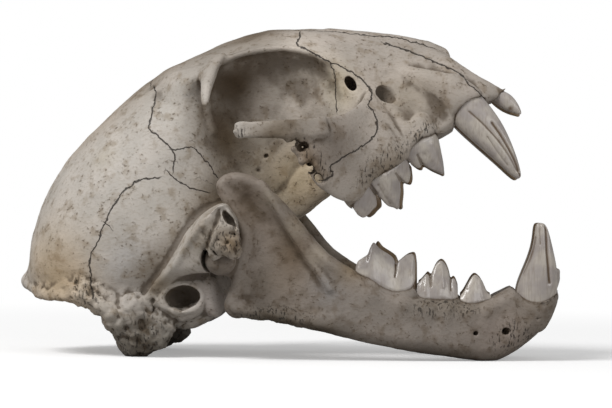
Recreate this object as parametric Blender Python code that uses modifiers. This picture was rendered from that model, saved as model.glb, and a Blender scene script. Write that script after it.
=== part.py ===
"""Lynx skull with its lower jaw, standing open on its chin and on the bone behind its ears.

Metres, +Z up, snout towards +X. The skull's right side is at -Y and its left side at +Y.
Every bone and tooth is drawn in millimetres in a frame whose origin is the jaw hinge:
a runs forward, w sideways (left positive) and d towards the top of the head.
"""
import math

import bmesh
import bpy
import numpy as np
from mathutils import Matrix, Vector

for thing in list(bpy.data.objects):
    bpy.data.objects.remove(thing, do_unlink=True)

MM = 0.001

# Driving dimensions, in millimetres and degrees
HINGE_X = -17.2
HINGE_Y = -1.7
HINGE_Z = 26.9
CRANIUM_PITCH = 34.8
JAW_PITCH = 0.8
GAP = 0.3
SYMPHYSIS_GAP = 0.3
ARCH_HALF_WIDTH = 47.5
BRAINCASE_HALF_WIDTH = 28.5
CONDYLE_RADIUS = 4.2
CONDYLE_INNER = 21.5
CONDYLE_OUTER = 37.3
GLENOID_CLEARANCE = 0.6
CRANIUM_FACES = 2980
JAW_FACES = 570
BLADE_ROOT = 3.0
RIGHT = -1
LEFT = 1


def collection(name):
    """A collection linked to the scene."""
    made = bpy.data.collections.new(name)
    bpy.context.scene.collection.children.link(made)
    return made


skull = collection("lynx_skull")
cutters = collection("cutters")


def material(name, colour, roughness):
    """A plain Principled material."""
    made = bpy.data.materials.new(name)
    made.use_nodes = True
    shader = made.node_tree.nodes["Principled BSDF"]
    shader.inputs["Base Color"].default_value = (*colour, 1.0)
    shader.inputs["Roughness"].default_value = roughness
    shader.inputs["Metallic"].default_value = 0.0
    return made


bone = material("bone", (0.55, 0.49, 0.40), 0.62)
jaw_bone = material("jaw_bone", (0.47, 0.42, 0.35), 0.62)
enamel = material("enamel", (0.72, 0.67, 0.60), 0.28)


# Shape helpers

def through(points, per_span, closed=False):
    """A smooth curve through the points, with per_span steps between each two."""
    pts = np.asarray(points, float)
    count = len(pts)
    curve = []
    for i in range(count if closed else count - 1):
        if closed:
            p0, p1, p2, p3 = (pts[(i + k) % count] for k in (-1, 0, 1, 2))
        else:
            p0, p1, p2, p3 = (pts[min(max(i + k, 0), count - 1)] for k in (-1, 0, 1, 2))
        for step in range(per_span):
            t = step / per_span
            curve.append(0.5 * (2 * p1 + (p2 - p0) * t + (2 * p0 - 5 * p1 + 4 * p2 - p3) * t ** 2
                                + (3 * p1 - p0 - 3 * p2 + p3) * t ** 3))
    if not closed:
        curve.append(pts[-1])
    return np.array(curve)


def loft(rings):
    """A closed skin over rings of equal length."""
    form = bmesh.new()
    rows = [[form.verts.new(point) for point in ring] for ring in rings]
    for one, two in zip(rows, rows[1:]):
        for i in range(len(one)):
            j = (i + 1) % len(one)
            form.faces.new((one[i], one[j], two[j], two[i]))
    form.faces.new(rows[0][::-1])
    form.faces.new(rows[-1])
    bmesh.ops.recalc_face_normals(form, faces=form.faces)
    return form


def bar(path, sides=12, per_span=4):
    """A bar along (a, w, d, half height, half thickness) points, its height kept near d."""
    dense = through(path, per_span)
    spine = dense[:, :3]
    rings = []
    for i, (centre, tall, thick) in enumerate(zip(spine, dense[:, 3], dense[:, 4])):
        along = spine[min(i + 1, len(spine) - 1)] - spine[max(i - 1, 0)]
        along /= np.linalg.norm(along)
        across = np.cross(along, (0.0, 0.0, 1.0))
        if np.linalg.norm(across) < 0.2:
            across = np.cross(along, (1.0, 0.0, 0.0))
        across /= np.linalg.norm(across)
        up = np.cross(across, along)
        turn = np.linspace(0, 2 * math.pi, sides, endpoint=False)
        rings.append([centre + up * tall * math.sin(t) + across * thick * math.cos(t) for t in turn])
    return loft(rings)


def ball(centre, radii, yaw=0.0, pitch=0.0):
    """An ellipsoid, turned about d by yaw and about w by pitch, in degrees."""
    form = bmesh.new()
    place = (Matrix.Translation(centre) @ Matrix.Rotation(math.radians(yaw), 4, "Z")
             @ Matrix.Rotation(math.radians(pitch), 4, "Y") @ Matrix.Diagonal((*radii, 1.0)))
    bmesh.ops.create_uvsphere(form, u_segments=20, v_segments=12, radius=1.0, matrix=place)
    return form


def in_millimetres(form):
    """The form scaled from millimetres to metres."""
    bmesh.ops.scale(form, vec=(MM, MM, MM), verts=form.verts)
    return form


def new_object(name, forms, home):
    """One object that holds the forms, in metres."""
    whole = bpy.data.meshes.new(name)
    joined = bmesh.new()
    for form in forms:
        part = bpy.data.meshes.new("form")
        in_millimetres(form).to_mesh(part)
        form.free()
        joined.from_mesh(part)
        bpy.data.meshes.remove(part)
    joined.to_mesh(whole)
    joined.free()
    made = bpy.data.objects.new(name, whole)
    home.objects.link(made)
    return made


def apply_modifiers(thing):
    """The object's mesh as its modifiers leave it."""
    graph = bpy.context.evaluated_depsgraph_get()
    mesh = bpy.data.meshes.new_from_object(thing.evaluated_get(graph))
    thing.modifiers.clear()
    thing.data = mesh


def remesh(thing, voxel, smoothing):
    """Fuse overlapping forms into one skin and round it."""
    skin = thing.modifiers.new("fuse", "REMESH")
    skin.mode = "VOXEL"
    skin.voxel_size = voxel * MM
    soften = thing.modifiers.new("soften", "SMOOTH")
    soften.factor = 0.5
    soften.iterations = smoothing
    apply_modifiers(thing)


def thin_out(thing, faces):
    """Reduce the mesh to about this many triangles."""
    fewer = thing.modifiers.new("fewer", "DECIMATE")
    fewer.ratio = faces / (2.0 * len(thing.data.polygons))
    fewer.use_collapse_triangulate = True
    apply_modifiers(thing)


def cut(thing, forms, name):
    """Cut the forms out of the object, one at a time."""
    for number, form in enumerate(forms):
        tool = new_object(f"{name}_{number}", [form], cutters)
        tool.matrix_world = thing.matrix_world.copy()
        tool.display_type = "WIRE"
        tool.hide_render = True
        away = thing.modifiers.new(tool.name, "BOOLEAN")
        away.operation = "DIFFERENCE"
        away.object = tool


def stations(rows, per_span=4, around=3):
    """Rings through half sections (w, d) at each a, mirrored to both sides."""
    halves = np.array([[(a, w, d) for w, d in half] for a, half in rows], float)
    along = np.array([through(halves[:, k], per_span) for k in range(halves.shape[1])])
    rings = []
    for k in range(along.shape[1]):
        half = through(along[:, k], around)
        half[0, 1] = half[-1, 1] = 0.0
        other = half[-2:0:-1] * (1, -1, 1)
        rings.append(np.vstack([half, other]))
    return loft(rings)


def vault(top, bottom, wide, widest, square=2.15):
    """Twelve half section points of a rounded vault."""
    half = []
    for t in np.linspace(math.pi / 2, -math.pi / 2, 12):
        reach = (top if t > 0 else bottom) - widest
        half.append((wide * max(math.cos(t), 0.0) ** (2 / square),
                     widest + reach * abs(math.sin(t)) ** (2 / square)))
    return half


# Cranium: one fused bone, lofted from the back of the head to the tip of the snout.
# Each face row runs from the top midline over the brow or nasal edge and the cheek
# to the tooth margin and the palate.

body_rows = [
    (-50.4, vault(27.6, 24.0, 7.0, 25.8)),
    (-47.5, vault(29.6, 20.8, 15.0, 24.5)),
    (-43.5, vault(34.4, 16.4, 20.6, 23.0)),
    (-38.5, vault(38.7, 9.6, 24.0, 21.5)),
    (-34.0, vault(41.9, 4.0, 25.9, 20.5)),
    (-29.0, vault(44.9, -4.0, 27.2, 19.8)),
    (-22.0, vault(47.9, -5.0, 28.0, 19.5)),
    (-14.0, vault(50.4, -4.8, BRAINCASE_HALF_WIDTH, 19.5)),
    (-5.0, vault(52.2, -3.0, 26.8, 20.5)),
    (3.0, vault(53.4, -0.5, 23.8, 23.0)),
    (10.0, vault(53.7, 2.5, 20.9, 27.0)),
    (15.0, [(0, 53.6), (10, 52.6), (18.5, 48.5), (20, 45.0), (18.6, 39), (17.6, 33), (17.0, 27),
            (15.8, 20), (13.6, 12), (11, 6), (6, 5), (0, 5)]),
    (20.0, [(0, 52.9), (11, 51.8), (21.5, 47.0), (22.5, 44.5), (16.6, 39), (15, 33), (14.3, 27),
            (13.4, 20), (12.0, 12), (10, 6), (5, 5.5), (0, 5.5)]),
    (26.0, [(0, 52.0), (10.5, 50.6), (19.8, 46.6), (20.2, 44.6), (14.8, 40), (13.3, 34), (12.6, 27),
            (12.0, 20), (11.4, 12), (9.8, 6), (5, 5.5), (0, 5.5)]),
    (31.5, [(0, 51.2), (10, 49.0), (17.8, 45.6), (18.1, 43.6), (14.0, 39), (12.8, 33), (12.2, 27),
            (12.0, 20), (11.8, 12), (10.6, 5), (5, 4.8), (0, 4.8)]),
    (35.0, [(0, 50.3), (9.6, 47.8), (16.8, 44.6), (17.1, 42.8), (13.6, 38), (12.5, 32), (12.3, 26),
            (12.5, 19), (13.2, 11), (13.5, 1.0), (6, 0.8), (0, 0.8)]),
    (40.0, [(0, 48.8), (9.4, 46.2), (16.6, 43.0), (16.9, 41.2), (13.6, 37), (12.7, 31), (13.0, 25),
            (14.5, 17), (18, 9), (24, -5.5), (18.5, -3.0), (0, 0.5)]),
    (45.0, [(0, 46.6), (9.0, 44.9), (17.0, 40.3), (17.4, 38.5), (14.6, 35), (13.9, 30), (14.6, 24),
            (17.5, 16), (23, 8), (27, -5.3), (20.6, -5.4), (0, 0.8)]),
    (50.0, [(0, 43.6), (9.0, 42.0), (18.0, 36.3), (18.7, 34.4), (16.8, 31), (16.6, 26), (18.3, 20),
            (21.5, 14), (25.5, 6), (27.2, -5.6), (20.6, -5.6), (0, 1.0)]),
    (55.0, [(0, 40.3), (9.0, 38.6), (17.6, 31.8), (19.6, 28.2), (19.9, 24.5), (20.6, 20), (22.3, 15),
            (24.2, 9), (25.6, 2), (26.0, -5.4), (20.0, -5.5), (0, 0.8)]),
    (60.0, [(0, 36.4), (8.6, 34.7), (14.6, 29.2), (17.0, 25.0), (18.6, 21), (19.9, 16.5), (20.8, 12),
            (21.6, 7), (22.2, 1), (22.2, -4.2), (17.6, -4.5), (0, 0.4)]),
    (66.0, [(0, 31.2), (7.6, 29.8), (12.2, 25.2), (14.4, 21.3), (16.0, 17.5), (17.4, 13.5), (18.4, 9),
            (19.0, 4.5), (19.4, 0), (19.2, -4.2), (15.0, -4.4), (0, 0)]),
    (72.0, [(0, 26.2), (7.0, 24.8), (10.6, 20.8), (12.8, 17.3), (14.7, 14), (16.4, 10.5), (17.8, 7),
            (18.8, 3), (19.3, -0.8), (18.7, -4.4), (14.4, -4.8), (0, -0.8)]),
    (77.0, [(0, 21.2), (6.9, 19.2), (9.4, 16.4), (11.6, 13.5), (13.6, 10.8), (15.5, 8), (17.2, 5),
            (18.5, 2), (19.3, -0.8), (18.4, -3.0), (13.6, -3.6), (0, -1.6)]),
    (81.0, [(0, 14.6), (6.7, 14.3), (9.2, 13.2), (10.8, 11.4), (12.2, 9.2), (13.6, 6.8), (15.1, 4.2),
            (16.6, 1.4), (17.6, -1.0), (16.8, -3.0), (12.5, -3.8), (0, -2.4)]),
    (84.2, [(0, 6.6), (6.0, 6.7), (9.0, 6.4), (10.4, 5.3), (11.3, 3.8), (12.0, 2.2), (12.6, 0.6),
            (13.0, -1.1), (13.1, -2.8), (12.0, -4.2), (9.0, -4.6), (0, -3.4)]),
    (87.3, [(0, -0.2), (4.6, 0.0), (7.4, -0.1), (8.9, -0.7), (9.8, -1.6), (10.3, -2.5), (10.6, -3.4),
            (10.6, -4.3), (10.2, -5.0), (9.2, -5.4), (6.5, -5.4), (0, -4.6)]),
    (89.4, [(0, -4.4), (2.6, -4.5), (4.2, -4.7), (5.1, -4.9), (5.8, -5.1), (6.3, -5.3), (6.6, -5.5),
            (6.7, -5.7), (6.5, -5.9), (5.8, -6.0), (4.2, -6.0), (0, -5.8)]),
]


def cheek_root(side):
    """The root of the cheekbone above the carnassial tooth."""
    rows = [
        (59.0, [(22.0, 16.0), (23.2, 8.0), (24.0, -3.0), (20.0, -3.0), (18.0, 7.0), (19.0, 15.0)]),
        (54.0, [(27.0, 13.8), (27.4, 7.0), (27.0, -4.8), (21.0, -4.8), (20.0, 4.0), (23.5, 12.8)]),
        (48.5, [(33.2, 13.9), (32.2, 7.0), (28.2, -5.4), (22.5, -5.0), (23.5, 4.5), (30.5, 12.8)]),
        (43.0, [(37.5, 16.2), (36.3, 8.5), (29.8, -6.2), (24.5, -5.6), (27.5, 5.0), (35.0, 15.2)]),
        (38.5, [(40.0, 18.4), (39.0, 10.5), (32.5, -5.8), (28.3, -5.4), (32.0, 6.0), (37.9, 17.4)]),
        (35.0, [(41.6, 20.3), (41.0, 13.0), (36.2, -2.4), (33.0, -2.2), (36.0, 9.0), (39.6, 19.6)]),
        (32.8, [(42.3, 21.6), (42.1, 15.5), (39.0, 4.0), (36.8, 4.2), (38.2, 12.0), (40.4, 21.0)]),
    ]
    points = np.array([[(a, side * w, d) for w, d in ring] for a, ring in rows], float)
    along = np.array([through(points[:, k], 4) for k in range(points.shape[1])])
    return loft([through(along[:, k], 3, closed=True) for k in range(along.shape[1])])


def brow_spine(side):
    """The spike of the frontal bone behind the eye."""
    return bar([(25.0, side * 17.5, 46.5, 1.6, 6.0), (24.0, side * 22.5, 44.6, 1.8, 4.6),
                (22.4, side * 26.5, 41.8, 1.7, 2.9), (21.0, side * 29.0, 39.2, 1.3, 1.9),
                (20.2, side * 30.2, 37.0, 0.8, 0.9)])


def ear_capsule(side):
    """The inflated ear capsule under the braincase."""
    return ball((-13.0, side * 15.6, -3.0), (11.6, 7.6, 8.7), yaw=side * -10)


def ear_tube(side):
    """The rim of bone round the ear opening."""
    return ball((-14.2, side * 23.5, -1.6), (6.6, 4.0, 5.4))


def rough_lumps(side):
    """The rough bone behind the ear that the skull stands on."""
    lumps = [((-30.5, 22.0, -3.5), (5.6, 4.6, 6.6)), ((-33.2, 19.5, -5.0), (4.2, 4.2, 5.2)),
             ((-27.0, 22.6, -6.0), (4.8, 4.2, 5.0)), ((-33.4, 22.5, 2.5), (3.6, 4.4, 5.2)),
             ((-24.0, 23.4, -5.4), (3.4, 3.2, 4.2)), ((-28.6, 24.2, 1.5), (5.0, 3.2, 5.0))]
    return [ball((a, side * w, d), radii) for (a, w, d), radii in lumps]


def condyle_of_neck(side):
    """One of the two knuckles that carry the skull on the neck."""
    return ball((-34.4, side * 9.0, -1.6), (4.2, 4.6, 6.2), yaw=side * 20)


def nape_crest(side):
    """The ridge from the back of the head down to the ear."""
    return bar([(-50.2, 0.0, 26.2, 1.8, 2.0), (-49.9, side * 6.0, 25.4, 1.7, 2.0),
                (-48.3, side * 12.5, 22.8, 1.6, 1.9), (-45.6, side * 18.5, 19.4, 1.6, 1.8),
                (-41.6, side * 23.0, 16.2, 1.6, 1.8), (-37.6, side * 25.6, 13.2, 1.6, 1.8),
                (-34.6, side * 26.4, 9.0, 1.8, 1.8), (-33.2, side * 25.8, 4.0, 2.0, 2.0)])


def nape_fill(side):
    """The back wall of the head between the crest and the neck."""
    return bar([(-46.4, side * 7.0, 24.4, 2.6, 4.0), (-43.6, side * 13.5, 21.4, 3.8, 4.6),
                (-40.2, side * 18.5, 18.6, 4.4, 4.6), (-36.6, side * 21.2, 15.0, 4.6, 4.6),
                (-32.6, side * 21.8, 9.0, 5.0, 4.6), (-30.4, side * 20.5, 2.0, 5.0, 4.4)])


def jaw_socket_shelf(side):
    """The shelf over the jaw joint, out from the braincase to the root of the arch."""
    rows = [
        (20.0, [(-15, 14), (-6, 16), (0, 14), (4, 10), (5, 5), (0, 3), (-10, 2), (-16, 4)]),
        (26.0, [(-13, 8.5), (-7, 10.5), (-1, 10.3), (3.2, 8), (5, 4.4), (1, 2), (-7, -2), (-12, 2)]),
        (31.0, [(-9, 7.2), (-4, 9.4), (0.5, 9.6), (4.2, 7.8), (5.8, 4), (1, 2), (-6.4, -3.6), (-8.4, 1)]),
        (35.0, [(-6.4, 6.4), (-2, 9), (4, 11.4), (8.6, 9.8), (8, 3), (2, 1), (-5.2, -2.4), (-6.4, 1)]),
        (39.6, [(-3, 5), (1, 9), (6.6, 12.3), (9.9, 9.9), (8.8, 3.2), (4.8, -1.2), (0.4, -0.8), (-2, 1.6)]),
        (41.6, [(0, 5), (2, 8.6), (6.6, 11.4), (9, 9.6), (8.2, 4), (5, 0.6), (1.4, 0.8), (0.4, 3)]),
    ]
    points = np.array([[(a, side * w, d) for a, d in ring] for w, ring in rows], float)
    along = np.array([through(points[:, k], 3) for k in range(points.shape[1])])
    return loft([through(along[:, k], 3, closed=True) for k in range(along.shape[1])])


def wing_plate(side):
    """The thin plate beside the throat, behind the palate."""
    return bar([(36.0, side * 12.0, 4.5, 5.4, 1.5), (30.0, side * 11.0, 4.2, 5.4, 1.3),
                (24.0, side * 10.0, 3.6, 5.4, 1.2), (17.0, side * 9.6, 3.6, 5.0, 1.2),
                (11.0, side * 9.4, 2.8, 4.8, 1.2), (6.0, side * 9.2, 1.0, 3.4, 1.1)])


def canine_root(side):
    """The swelling over the root of the upper canine."""
    return bar([(78.4, side * 16.4, -1.6, 4.8, 3.5), (75.0, side * 16.4, 4.6, 4.6, 3.2),
                (71.0, side * 15.2, 11.0, 3.8, 2.6), (67.5, side * 13.0, 16.0, 2.6, 1.8)])


def nasal_plates():
    """The pair of nasal bones that overhang the nose opening."""
    rows = [(58.0, 38.4, 7.6), (66.0, 32.0, 7.2), (74.0, 25.3, 6.6), (80.0, 19.2, 5.6), (82.8, 14.6, 4.2)]
    rings = []
    for a, top, wide in rows:
        turn = np.linspace(0, math.pi, 7)
        ring = [(a, wide * math.cos(t), top - 1.6 * (1.0 - math.sin(t))) for t in turn]
        ring += [(a - 0.6, wide * 0.9 * math.cos(t), top - 3.4 - 0.6 * (1.0 - math.sin(t)))
                 for t in turn[::-1]]
        rings.append(ring)
    return loft(rings)


def left_arch():
    """The whole cheekbone arch of the left side."""
    wide = ARCH_HALF_WIDTH
    arch = bar([(36.5, wide - 7.4, 13.0, 7.6, 1.6), (31.0, wide - 4.4, 15.6, 7.4, 1.6),
                (25.0, wide - 2.2, 18.0, 6.8, 1.6), (18.0, wide - 1.0, 18.8, 5.2, 1.6),
                (10.0, wide - 1.0, 17.2, 4.4, 1.6), (3.5, wide - 2.6, 13.4, 4.2, 1.8),
                (-0.5, wide - 6.4, 9.0, 4.2, 2.4), (-2.5, wide - 12.5, 6.6, 4.0, 3.0)])
    spike = bar([(25.5, wide - 2.4, 22.0, 3.8, 1.4), (23.2, wide - 2.4, 26.4, 2.4, 1.3),
                 (21.4, wide - 3.0, 30.4, 1.1, 1.0)])
    return [arch, spike]


def right_remnant():
    """What is left of the right cheekbone: a bar with a broken end."""
    return bar([(36.0, -40.2, 17.4, 3.2, 1.3), (32.0, -42.0, 19.8, 2.7, 1.4),
                (28.0, -43.0, 22.4, 2.5, 1.5), (25.4, -43.4, 24.4, 2.3, 1.5),
                (23.4, -43.4, 25.6, 1.8, 1.4)])


cranium_forms = [stations(body_rows)]
for side in (RIGHT, LEFT):
    cranium_forms += [cheek_root(side), brow_spine(side), ear_capsule(side), ear_tube(side),
                      condyle_of_neck(side), nape_crest(side), nape_fill(side), jaw_socket_shelf(side),
                      wing_plate(side), canine_root(side)]
    cranium_forms += rough_lumps(side)
cranium_forms.append(nasal_plates())
cranium_forms += left_arch()
cranium_forms.append(right_remnant())

cranium = new_object("cranium", cranium_forms, skull)
remesh(cranium, 0.9, 3)
thin_out(cranium, CRANIUM_FACES)
cranium.data.materials.append(bone)
cranium.location = Vector((HINGE_X, HINGE_Y, HINGE_Z)) * MM
cranium.rotation_euler = (0.0, -math.radians(CRANIUM_PITCH), 0.0)


# Lower jaw: two mirrored halves that meet at the chin, drawn round their own hinge.
# The side outline runs over the top of the ramus, down its front edge and along the tooth
# margin to the canine, round the chin, back along the lower edge and up the rear edge.

jaw_outline = through(
    [(-1.3, 20.4), (0.2, 22.6), (2.6, 23.5), (5.2, 23.6), (8.5, 22.8), (11.1, 21.2), (13.8, 18.8),
     (16.5, 16.1), (19.2, 12.9), (21.4, 10.2), (23.5, 7.5), (25.7, 4.8), (28.4, 2.1), (31.6, -0.3),
     (34.6, -2.2), (38.7, -4.6), (43.9, -8.1), (49.3, -9.4), (54.5, -10.5), (60.0, -11.0),
     (66.0, -11.9), (70.0, -11.6), (74.0, -9.8), (79.0, -7.6), (82.0, -9.8), (85.0, -11.4),
     (88.3, -11.0), (90.8, -8.8), (91.6, -10.9), (90.2, -13.6), (88.6, -16.4), (86.4, -19.7),
     (83.6, -22.5), (80.3, -25.0), (77.0, -26.9), (74.0, -28.0), (70.8, -28.2), (67.0, -27.6),
     (61.6, -26.8), (53.4, -25.6), (42.6, -23.5), (34.5, -21.6), (26.6, -19.5), (21.2, -18.4),
     (15.8, -17.1), (11.7, -16.3), (7.7, -16.0), (4.7, -15.5), (2.3, -14.4), (1.2, -12.5),
     (1.3, -10.3), (2.0, -8.1), (2.8, -5.4), (3.2, -2.0), (4.0, 2.0), (5.0, 5.9), (3.1, 10.7),
     (0.9, 14.5), (-0.7, 17.4)], 3, closed=True)

# How far out the middle of the jaw lies, and its half thickness, along its length
jaw_run = (-2.0, 10.0, 20.0, 30.0, 40.0, 50.0, 60.0, 70.0, 78.0, 85.0, 92.0)
jaw_out = (29.2, 28.4, 26.6, 24.2, 21.6, 19.3, 16.4, 12.9, 9.4, 6.9, 5.0)
jaw_half = (1.7, 1.9, 2.6, 3.6, 4.3, 4.4, 4.4, 4.6, 5.2, 5.4, 4.4)


def edge_distance(x, z):
    """Distance from points to the jaw's side outline."""
    nearest = np.full(len(x), 1e9)
    for (x0, z0), (x1, z1) in zip(jaw_outline, np.roll(jaw_outline, -1, axis=0)):
        length = (x1 - x0) ** 2 + (z1 - z0) ** 2
        t = np.clip(((x - x0) * (x1 - x0) + (z - z0) * (z1 - z0)) / length, 0.0, 1.0)
        nearest = np.minimum(nearest, np.hypot(x - x0 - t * (x1 - x0), z - z0 - t * (z1 - z0)))
    return nearest


def ease(value, low, high):
    """0 below low, 1 above high, smooth between."""
    t = np.clip((value - low) / (high - low), 0.0, 1.0)
    return t * t * (3.0 - 2.0 * t)


def jaw_surface(side, points):
    """Move the points of a flat plate, 10 mm thick, onto the jaw's inner and outer faces."""
    x, y, z = points.T
    middle = np.interp(x, jaw_run, jaw_out)
    half = np.interp(x, jaw_run, jaw_half)
    edge = edge_distance(x, z)
    rim = 2.2 + 1.6 * ease(x, 30.0, 45.0)
    round_off = np.sqrt(np.clip(1.0 - (1.0 - np.clip(edge / rim, 0.0, 1.0)) ** 2, 0.0, 1.0))
    hollow = 1.5 * ease(edge, 2.0, 7.0) * (1.0 - ease(x, 24.0, 33.0)) * (1.0 - ease(z, 12.0, 22.0))
    outer = half - hollow + 0.9 * (1.0 - ease(x, 28.0, 36.0)) * (1.0 - ease(edge, 1.0, 5.0))
    below = ease(-9.0 - (92.0 - x) * 0.72 - z, -2.0, 2.5)
    meeting = below * ease(x, 65.0, 71.0)
    inner = half * (1.0 - meeting) + (middle + 1.0) * meeting
    out = middle + np.where(y > 0.0, outer, -inner) * round_off * np.abs(y) / 5.0
    out = np.maximum(out, SYMPHYSIS_GAP / 2.0)
    return np.column_stack([x, side * out, z])


def jaw_half_of(side, name):
    """One half of the lower jaw."""
    rings = [[(x, y, z) for x, z in jaw_outline] for y in np.linspace(-5.0, 5.0, 3)]
    plate = new_object(name, [loft(rings)], skull)
    remesh(plate, 0.8, 0)
    points = np.array([tuple(v.co) for v in plate.data.vertices]) / MM
    for vert, place in zip(plate.data.vertices, jaw_surface(side, points)):
        vert.co = Vector(place) * MM
    body = bmesh.new()
    body.from_mesh(plate.data)
    bmesh.ops.scale(body, vec=(1 / MM, 1 / MM, 1 / MM), verts=body.verts)
    bmesh.ops.recalc_face_normals(body, faces=body.faces)
    bpy.data.objects.remove(plate, do_unlink=True)
    middle = (CONDYLE_INNER + CONDYLE_OUTER) / 2.0
    reach = (CONDYLE_OUTER - CONDYLE_INNER) / 2.0
    r = CONDYLE_RADIUS
    knuckle = bar([(0.0, side * (middle - reach), 0.0, r * 0.45, r * 0.45),
                   (0.0, side * (middle - reach * 0.7), 0.0, r * 0.86, r * 0.86),
                   (0.0, side * middle, 0.0, r, r),
                   (0.0, side * (middle + reach * 0.7), 0.0, r * 0.92, r * 0.92),
                   (0.0, side * (middle + reach), 0.0, r * 0.5, r * 0.5)], sides=20)
    neck = bar([(1.0, side * 28.6, -0.5, 3.4, 4.6), (5.0, side * 27.8, -1.6, 4.2, 3.0),
                (10.0, side * 27.2, -3.0, 3.4, 2.0)])
    angle = ball((4.2, side * 28.4, -12.4), (3.6, 2.6, 3.4))
    half = new_object(name, [body, knuckle, neck, angle], skull)
    remesh(half, 0.8, 3)
    for vert in half.data.vertices:
        if side * vert.co.y < SYMPHYSIS_GAP / 2.0 * MM:
            vert.co.y = side * SYMPHYSIS_GAP / 2.0 * MM
    thin_out(half, JAW_FACES)
    half.data.materials.append(jaw_bone)
    return half


hinge = bpy.data.objects.new("jaw_hinge", None)
hinge.location = Vector((HINGE_X, HINGE_Y, HINGE_Z)) * MM
hinge.rotation_euler = (0.0, -math.radians(JAW_PITCH), 0.0)
skull.objects.link(hinge)
bpy.context.view_layer.update()

jaws = {}
for side, word in ((RIGHT, "right"), (LEFT, "left")):
    jaws[side] = jaw_half_of(side, f"mandible_{word}")
    jaws[side].parent = hinge


# Teeth. A blade tooth is a row of sections across its cutting edge: (a, w, neck, edge, half
# thickness). A pointed tooth is a tapered bar along (a, w, d, half length, half thickness).
# Both run on into the bone as a root.

def blade_tooth(side, rows):
    """A tooth with a blade."""
    rings = []
    for a, w, neck, edge, thick in rows:
        tall = edge - neck
        deep = neck - math.copysign(BLADE_ROOT, tall)
        half = [(0.12, edge), (0.6, neck + 0.58 * tall), (1.0, neck + 0.16 * tall), (0.66, deep)]
        ring = [(a, side * w + thick * share, d) for share, d in half]
        ring += [(a, side * w - thick * share, d) for share, d in half[::-1]]
        rings.append(ring)
    return loft(rings)


def pointed_tooth(side, sides, path):
    """A tooth with this many sides that tapers to one point."""
    points = np.asarray(path, float) * (1, side, 1, 1, 1)
    rings = []
    turn = np.linspace(0, 2 * math.pi, sides, endpoint=False)
    for k, (a, w, d, long, thick) in enumerate(points):
        before, after = points[max(k - 1, 0), :3], points[min(k + 1, len(points) - 1), :3]
        along = (after - before) / np.linalg.norm(after - before)
        across = np.cross(along, (1.0, 0.0, 0.0))
        across /= np.linalg.norm(across)
        front = np.cross(across, along)
        rings.append([np.array((a, w, d)) + front * long * math.cos(t) + across * thick * math.sin(t)
                      for t in turn])
    return loft(rings)


UPPER_BLADES = {
    "upper_premolar_4": [(37.4, 27.2, -8.4, -10.4, 1.5), (38.6, 27.1, -8.0, -12.4, 2.1),
                         (40.6, 26.8, -7.3, -12.0, 2.5), (42.8, 26.4, -6.4, -11.2, 2.5),
                         (44.5, 26.0, -5.8, -9.2, 2.4), (45.7, 25.8, -5.7, -13.0, 2.7),
                         (47.0, 25.5, -5.8, -15.2, 2.9), (48.6, 25.2, -5.9, -14.2, 3.0),
                         (50.6, 24.7, -6.0, -11.4, 2.9), (52.0, 24.3, -6.0, -9.2, 2.6),
                         (53.3, 23.9, -5.8, -11.2, 2.3), (55.0, 23.4, -5.6, -9.4, 1.9),
                         (56.4, 23.0, -5.6, -7.4, 1.2)],
    "upper_premolar_3": [(57.2, 20.9, -5.3, -6.8, 1.2), (58.4, 20.7, -4.9, -9.0, 1.9),
                         (59.6, 20.5, -4.5, -8.9, 2.2), (61.0, 20.2, -4.2, -12.0, 2.4),
                         (62.3, 19.9, -4.1, -13.8, 2.4), (63.8, 19.6, -4.2, -11.8, 2.3),
                         (65.4, 19.2, -4.4, -8.4, 2.0), (66.9, 18.9, -4.4, -5.6, 1.2)],
}
LOWER_BLADES = {
    "lower_molar_1": [(36.3, 21.9, -3.0, -0.6, 1.4), (37.9, 21.7, -4.0, 0.1, 1.9),
                      (39.4, 21.4, -4.8, 1.2, 2.2), (41.1, 21.1, -5.6, 4.2, 2.4),
                      (42.8, 20.8, -7.0, 2.7, 2.4), (45.0, 20.3, -8.0, 1.0, 2.4),
                      (46.9, 19.9, -8.6, -1.3, 2.2), (48.7, 19.4, -8.6, -0.3, 2.2),
                      (51.0, 18.9, -7.4, 1.3, 1.9), (52.1, 18.6, -6.4, -1.6, 1.2)],
    "lower_premolar_4": [(52.9, 18.3, -9.4, -6.0, 1.2), (54.0, 18.0, -10.4, -5.2, 1.8),
                         (55.2, 17.7, -10.7, -3.8, 2.0), (56.3, 17.3, -10.7, -4.1, 2.1),
                         (57.3, 17.0, -10.7, -2.0, 2.2), (58.9, 16.5, -10.7, -0.5, 2.2),
                         (60.7, 16.0, -10.9, -2.2, 2.1), (61.8, 15.6, -11.0, -4.9, 1.9),
                         (62.9, 15.3, -10.8, -5.6, 1.6), (63.7, 15.0, -10.6, -7.4, 1.0)],
    "lower_premolar_3": [(64.6, 14.8, -11.0, -9.9, 1.1), (66.2, 14.4, -11.6, -8.4, 1.7),
                         (67.3, 14.0, -11.9, -5.8, 1.9), (68.5, 13.6, -11.9, -4.4, 1.9),
                         (69.8, 13.1, -11.7, -5.7, 1.8), (71.0, 12.7, -11.3, -8.0, 1.6),
                         (72.4, 12.2, -10.8, -9.6, 1.0)],
}
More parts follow.
